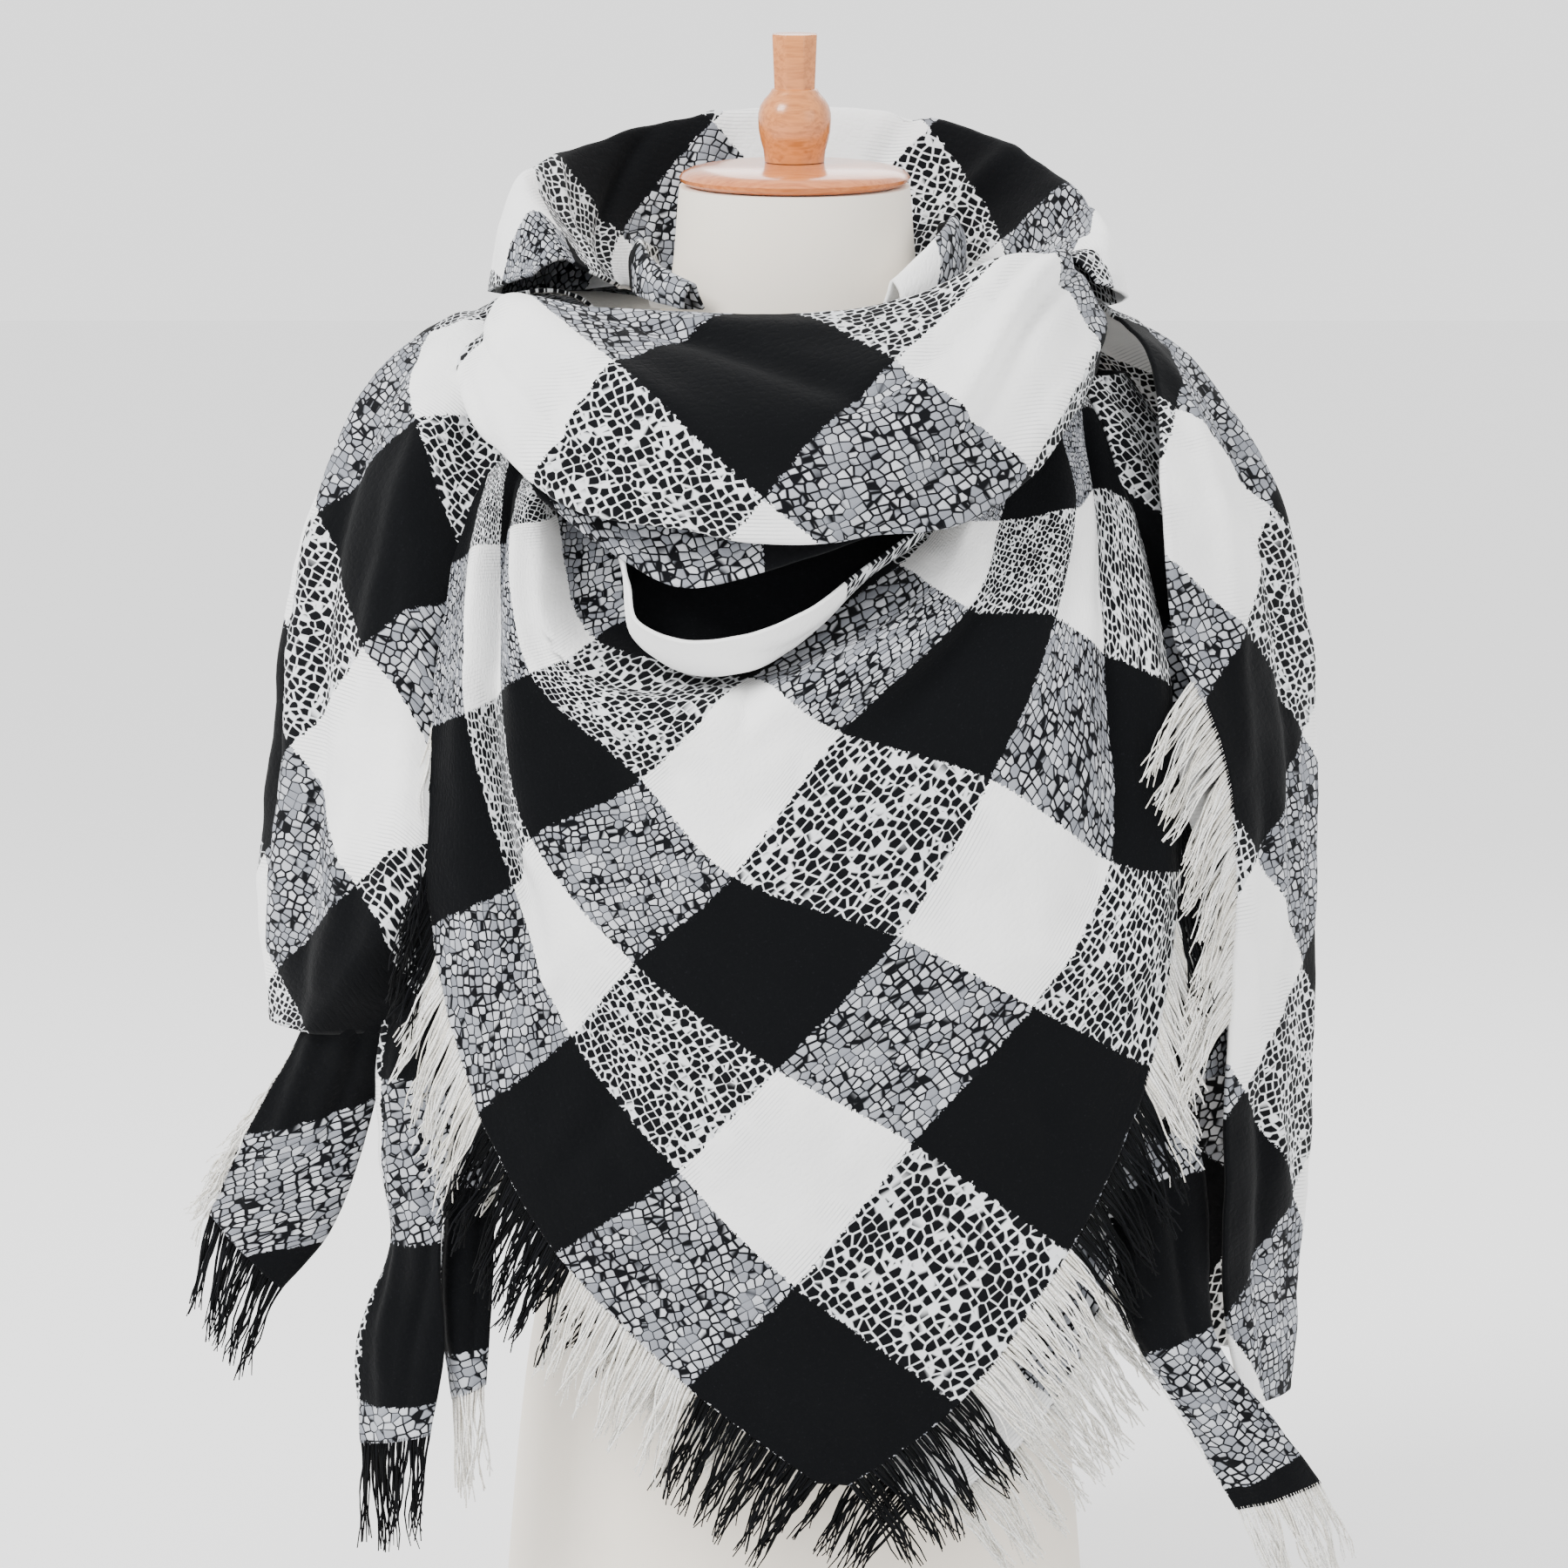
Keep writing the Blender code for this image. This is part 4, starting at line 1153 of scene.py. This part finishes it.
@dataclass
class HangingEnds:
    """The long ends over both shoulders, the wraps behind and the four tails."""

    finishes: Finishes

    def panels(self) -> list[tuple[Stretch, YarnRun | None]]:
        """Lay out the panels over the shoulders and behind the neck."""
        left = Stretch(
            "shoulder_left", panel(SHOULDER_LEFT, 9), (100, 130), (12, 20), (0.30, 0.50), 0.145, Held.DRAPED,
            ("form_torso",), Weave((0.14, 0.62), (0, 0), flip_across=True),
            (
                Crease((0.02, 0.36), (0.10, 0.98), 9, 4, 4),
                Crease((0.12, 0.34), (0.16, 0.96), 10, -5, -6),
                Crease((0.24, 0.30), (0.30, 0.98), 13, 6, 6),
                Crease((0.38, 0.26), (0.42, 0.90), 11, -5, -5),
                Crease((0.52, 0.30), (0.54, 0.98), 14, 6, 7),
                Crease((0.66, 0.28), (0.70, 0.94), 11, -5, 5),
                Crease((0.82, 0.30), (0.84, 0.98), 12, 5, -6),
                Crease((0.0, 0.30), (0.30, 0.24), 8, -3, 3),
            ), wrinkle=2.2, seated=panel(SHOULDER_LEFT))
        right = Stretch(
            "shoulder_right", panel(SHOULDER_RIGHT), (90, 170), (12, 24), (0.27, 0.70), 0.182, Held.DRAPED,
            ("form_torso",), Weave((0.12, 0.50), (1, 1)),
            (
                Crease((0.04, 0.28), (0.05, 0.60), 8, 4, 3),
                Crease((0.10, 0.60), (0.12, 0.98), 9, -5, 5),
                Crease((0.16, 0.26), (0.20, 0.74), 10, -5, 5),
                Crease((0.26, 0.30), (0.30, 0.98), 13, 6, -6),
                Crease((0.40, 0.24), (0.42, 0.92), 11, -5, 6),
                Crease((0.54, 0.30), (0.56, 0.99), 14, 6, 6),
                Crease((0.68, 0.26), (0.70, 0.90), 11, -5, -5),
                Crease((0.84, 0.30), (0.84, 0.98), 12, 5, 5),
                Crease((0.02, 0.70), (0.24, 0.88), 9, 3.5, 4),
            ), wrinkle=2.2)
        inner = Stretch(
            "shoulder_right_inner",
            panel([row._replace(first=row.first - INNER_FORWARD * ease(row.height, 460, 560),
                                out=row.out - INNER_INWARD * ease(row.height, 460, 560))
                   for row in SHOULDER_RIGHT_INNER]), (60, 90), (8, 8), (0.17, 0.38), 0.0620,
            Held.DRAPED, ("shoulder_right",), Weave((0.3, 0.55), (2, 1)),
            (Crease((0.06, 0.05), (0.08, 0.95), 7, 3, 3), Crease((0.2, 0.05), (0.22, 0.9), 8, -3, -3)),
            seated=panel(SHOULDER_RIGHT_INNER[1:]))
        wrap = Stretch(
            "nape_wrap", panel(NAPE_WRAP), (100, 60), (14, 8), (0.30, 0.20), 0.050, Held.FOLDED,
            ("shoulder_left", "shoulder_right"), Weave((0.5, 0.35), (0, 0), flip_across=True),
            (
                Crease((0.05, 0.45), (0.95, 0.55), 9, -3.5, 10),
                Crease((0.10, 0.55), (0.90, 0.68), 10, 4, 12),
                Crease((0.20, 0.75), (0.80, 0.85), 8, -3, 8),
            ))
        cross = Stretch(
            "nape_cross", panel(NAPE_CROSS), (70, 70), (8, 8), (0.23, 0.21), 0.0435, Held.DRAPED,
            ("nape_wrap",), Weave((0.4, 0.5), (1, 1), flip_across=True),
            (
                Crease((0.15, 0.05), (0.15, 0.95), 8, -3.5, 5),
                Crease((0.40, 0.05), (0.42, 0.95), 10, 4.5, -5),
                Crease((0.66, 0.05), (0.64, 0.95), 9, -4, 4),
                Crease((0.86, 0.05), (0.84, 0.9), 8, 3.5, 3),
            ))
        fringe = YarnRun("shoulder_right_fringe", Side.FIRST, (0.46, 0.71), Tone.CREAM, 0.7,
                         fall=0.35, seed=21)
        return [(left, None), (right, fringe), (inner, None), (wrap, None), (cross, None)]

    def tails(self) -> list[tuple[Stretch, YarnRun]]:
        """Lay out the four tails, each with the yarn ends at its foot."""
        table = [
            ("tail_left_outer", TAIL_LEFT_OUTER, (0.055, 0.24), 0.0130, Weave((0, 0.62), (0, 0), -45),
             "shoulder_left", Tone.BLACK),
            ("tail_left_inner", TAIL_LEFT_INNER, (0.045, 0.265), 0.0118, Weave((0, 0.60), (0, 1), -45),
             "bib_front", Tone.BLACK),
            ("tail_left_fold", TAIL_LEFT_FOLD, (0.030, 0.19), 0.0055, Weave((0, 0.82), (0, 0), -45),
             "tail_left_inner", Tone.CREAM),
            ("tail_right", TAIL_RIGHT, (0.050, 0.24), 0.0115, Weave((0, 0.55), (0, 0), -45),
             "bib_front", Tone.CREAM),
        ]
        made = []
        for seed, (node, rows, cut, area, weave, carrier, tone) in enumerate(table, start=31):
            cloth = Stretch(node, strip(rows), (26, 90), (4, 8), cut, area, Held.HUNG, (carrier,), weave,
                            (Crease((0.25, 0.05), (0.35, 0.95), 5, 3, 3),
                             Crease((0.65, 0.05), (0.60, 0.95), 5, -3, -3)), wrinkle=2.0,
                            seated=strip(rows[1:]) if rows is TAIL_LEFT_INNER else None)
            made.append((cloth, YarnRun(node + "_fringe", Side.END, (0.0, 1.0), tone, seed=seed)))
        return made

    def build(self) -> None:
        """Build the panels and tails with their yarn ends."""
        for cloth, run in self.panels() + self.tails():
            piece = cloth.build(self.finishes.cloth)
            runs = [run] if run else []
            if cloth.node == "tail_left_outer":
                runs.append(YarnRun(run.node, Side.FIRST, (0.40, 0.96), Tone.CREAM, 1.2, 0.6 * FRINGE,
                                    label="_side_yarn", seed=35))
            [one.build(cloth, self.finishes.yarn) for one in runs]


# ---------------------------------------------------------------- the dress form


@dataclass
class DressForm:
    """The padded torso with its wooden cap and finial."""

    sides: int = 96
    rings: int = 110
    cap_profile: tuple[Place, ...] = ((0, 12), (18, 11.9), (34, 11.4), (46, 10.2), (54, 8.6), (58.5, 6.6),
                                      (60, 4.4), (59.4, 2.4), (57, 0.8), (54, 0), (0, 0))
    bulge_profile: tuple[Place, ...] = ((0, 38), (10.6, 38), (11.8, 37.4), (12.6, 36), (13.8, 34.4),
                                        (15.8, 32.2), (17.8, 29), (18.9, 25), (19, 21.5), (18.6, 16),
                                        (17.6, 11), (16.2, 6), (15.7, 2), (15.6, 0), (0, 0))

    def torso(self, material: bpy.types.Material) -> None:
        """Build the padded body through its rings, closed below and at the neck."""
        rows = []
        for step in range(self.rings + 1):
            at = step / self.rings * (len(FORM) - 1)
            ring = Ring(*along(FORM, at))
            rings = [ring, ring._replace(height=ring.height + 1)]
            lean = ease(ring.height, FORM[-2].height, FORM[-1].height)
            loop = []
            for side in range(self.sides):
                place = around(360 * side / self.sides, ring.height, 0, rings)
                place.z += place.y * math.tan(-CAP_TILT) * lean
                loop.append(tuple(place))
            rows.append(loop)
        verts = [place for loop in rows for place in loop]
        faces = []
        for ring_number in range(self.rings):
            for side in range(self.sides):
                after = (side + 1) % self.sides
                low, high = ring_number * self.sides, (ring_number + 1) * self.sides
                faces.append((low + side, low + after, high + after, high + side))
        faces.append(tuple(reversed(range(self.sides))))
        faces.append(tuple(self.rings * self.sides + side for side in range(self.sides)))
        mesh = bpy.data.meshes.new("form_body")
        mesh.from_pydata(verts, [], faces)
        mesh.shade_smooth()
        mesh.set_sharp_from_angle(angle=math.radians(50))
        mesh.materials.append(material)
        piece = bpy.data.objects.new("form_body", mesh)
        bpy.context.scene.collection.objects.link(piece)
        self.place(piece, "form_torso", "form_cover")

    def place(self, piece: bpy.types.Object, node: str, slot: str) -> None:
        """Put a finished piece in a CAD node's place."""
        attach(piece, "root")
        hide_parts(node)
        LOG.info("made %s", piece.name)

    def spun(self, name: str, profile: Sequence[Place], lift: float, steps: int) -> bpy.types.Object:
        """Spin a profile round the neck's axis, as on a lathe.

        Args:
            name: The piece's name.
            profile: Radius and height rows in millimetres, from the top down.
            lift: Height of its foot above the neck's top, in metres.
            steps: Number of steps round.

        Returns:
            The turned piece, in place.
        """
        mesh = bpy.data.meshes.new(name)
        places = [(radius * MM, 0, height * MM) for radius, height in profile]
        mesh.from_pydata(places, [(k, k + 1) for k in range(len(places) - 1)], [])
        piece = bpy.data.objects.new(name, mesh)
        bpy.context.scene.collection.objects.link(piece)
        self.take(piece)
        bpy.ops.object.mode_set(mode="EDIT")
        bpy.ops.mesh.select_all(action="SELECT")
        bpy.ops.mesh.spin(steps=steps, angle=2 * math.pi, center=(0, 0, 0), axis=(0, 0, 1))
        bpy.ops.mesh.select_all(action="SELECT")
        bpy.ops.mesh.remove_doubles(threshold=0.00002)
        bpy.ops.mesh.normals_make_consistent(inside=False)
        bpy.ops.object.mode_set(mode="OBJECT")
        bpy.ops.object.shade_smooth_by_angle(angle=math.radians(35))
        self.lean(piece, lift)
        return piece

    @staticmethod
    def take(piece: bpy.types.Object) -> None:
        """Select one piece alone and make it active."""
        bpy.ops.object.select_all(action="DESELECT")
        piece.select_set(True)
        bpy.context.view_layer.objects.active = piece

    @staticmethod
    def lean(piece: bpy.types.Object, lift: float) -> None:
        """Turn a piece with the neck's top and raise it along the neck's axis."""
        turn = Matrix.Rotation(-CAP_TILT, 4, "X")
        raise_by = Matrix.Translation(turn @ Vector((0, 0, lift)) + Vector((0, 0, NECK_TOP)))
        piece.data.transform(raise_by @ turn)

    def finial_top(self) -> bpy.types.Object:
        """Make the eight-sided tapered grip on the finial, with softened edges."""
        bpy.ops.object.select_all(action="DESELECT")
        bpy.ops.mesh.primitive_cylinder_add(vertices=8, radius=12.6 * MM, depth=29 * MM,
                                            location=(0, 0, 51.5 * MM), rotation=(0, 0, math.radians(22.5)))
        piece = bpy.context.object
        self.take(piece)
        bpy.ops.object.transform_apply(location=True, rotation=True, scale=True)
        for corner in piece.data.vertices:
            if corner.co.z < 45 * MM:
                corner.co.x *= 0.90
                corner.co.y *= 0.90
        edge = piece.modifiers.new("softened_edges", "BEVEL")
        edge.width = 0.9 * MM
        edge.segments = 3
        bpy.ops.object.modifier_apply(modifier=edge.name)
        bpy.ops.object.shade_smooth_by_angle(angle=math.radians(35))
        self.lean(piece, CAP_HEIGHT + 2 * SEAM)
        return piece

    def build(self) -> None:
        """Build the torso, the cap and the finial."""
        self.torso(FormCover().make())
        beech = LacqueredBeech("satin_beech", "#CB7D3C", "#A96123").make()
        glossy = LacqueredBeech("glossy_beech_cap", "#CB7B45", "#B1622F", 0.18).make()
        cap = self.spun("cap_wood", self.cap_profile, SEAM, 128)
        cap.data.materials.append(glossy)
        self.place(cap, "form_cap", "turned_wood")
        bulge = self.spun("finial_wood", self.bulge_profile, CAP_HEIGHT + 2 * SEAM, 64)
        bulge.data.materials.append(beech)
        self.place(bulge, "form_finial", "turned_wood")
        grip = self.finial_top()
        grip.name = "finial_grip"
        grip.data.materials.append(beech)
        self.place(grip, "form_finial", "turned_wood")


@dataclass
class Studio:
    """A pale floor, soft lights and the camera."""

    target: Vector = field(default_factory=lambda: Vector((-0.0055, 0, 0.472)))
    eye: Vector = field(default_factory=lambda: Vector((-0.0055, -2.984, 0.786)))
    lens: float = 131
    floor_size: float = 60

    def floor(self) -> None:
        """Lay the floor."""
        bpy.ops.object.select_all(action="DESELECT")
        bpy.ops.mesh.primitive_plane_add(size=self.floor_size)
        floor = bpy.context.object
        floor.name = "floor"
        made, _shader = start_material("matt_paper_floor", "#F7F7F7", 0.95)
        floor.data.materials.append(made)

    def lights(self) -> None:
        """Hang the soft lights and the pale surround."""
        for name, place, power, size in (("key", (-2.0, -1.7, 2.7), 130, 1.2),
                                         ("fill", (2.2, -1.9, 1.3), 16, 1.8),
                                         ("back", (0.4, 2.0, 2.3), 30, 1.6)):
            lamp = bpy.data.objects.new(name, bpy.data.lights.new(name, "AREA"))
            lamp.data.energy = power
            lamp.data.size = size
            lamp.location = place
            lamp.rotation_euler = (self.target - lamp.location).to_track_quat("-Z", "Y").to_euler()
            bpy.context.scene.collection.objects.link(lamp)
        world = bpy.data.worlds.new("studio")
        world.use_nodes = True
        background = world.node_tree.nodes["Background"]
        background.inputs["Color"].default_value = (1, 1, 1, 1)
        background.inputs["Strength"].default_value = 1.8
        bpy.context.scene.world = world

    def camera(self) -> None:
        """Set the camera."""
        eye = bpy.data.objects.new("camera", bpy.data.cameras.new("camera"))
        eye.data.lens = self.lens
        eye.data.sensor_width = 36
        eye.location = self.eye
        eye.rotation_euler = (self.target - self.eye).to_track_quat("-Z", "Y").to_euler()
        bpy.context.scene.collection.objects.link(eye)
        bpy.context.scene.camera = eye

    def build(self) -> None:
        """Build the studio."""
        self.camera()
        self.floor()
        self.lights()


def main() -> None:
    """Build the form, the scarf and the studio."""
    logging.basicConfig(level=logging.INFO)
    finishes = Finishes(BrushedCheck().make(), LooseYarn().make())
    for part in (Studio(), DressForm(), FrontTriangle(finishes), Cowl(finishes), HangingEnds(finishes)):
        part.build()


if __name__ == "__main__":
    main()
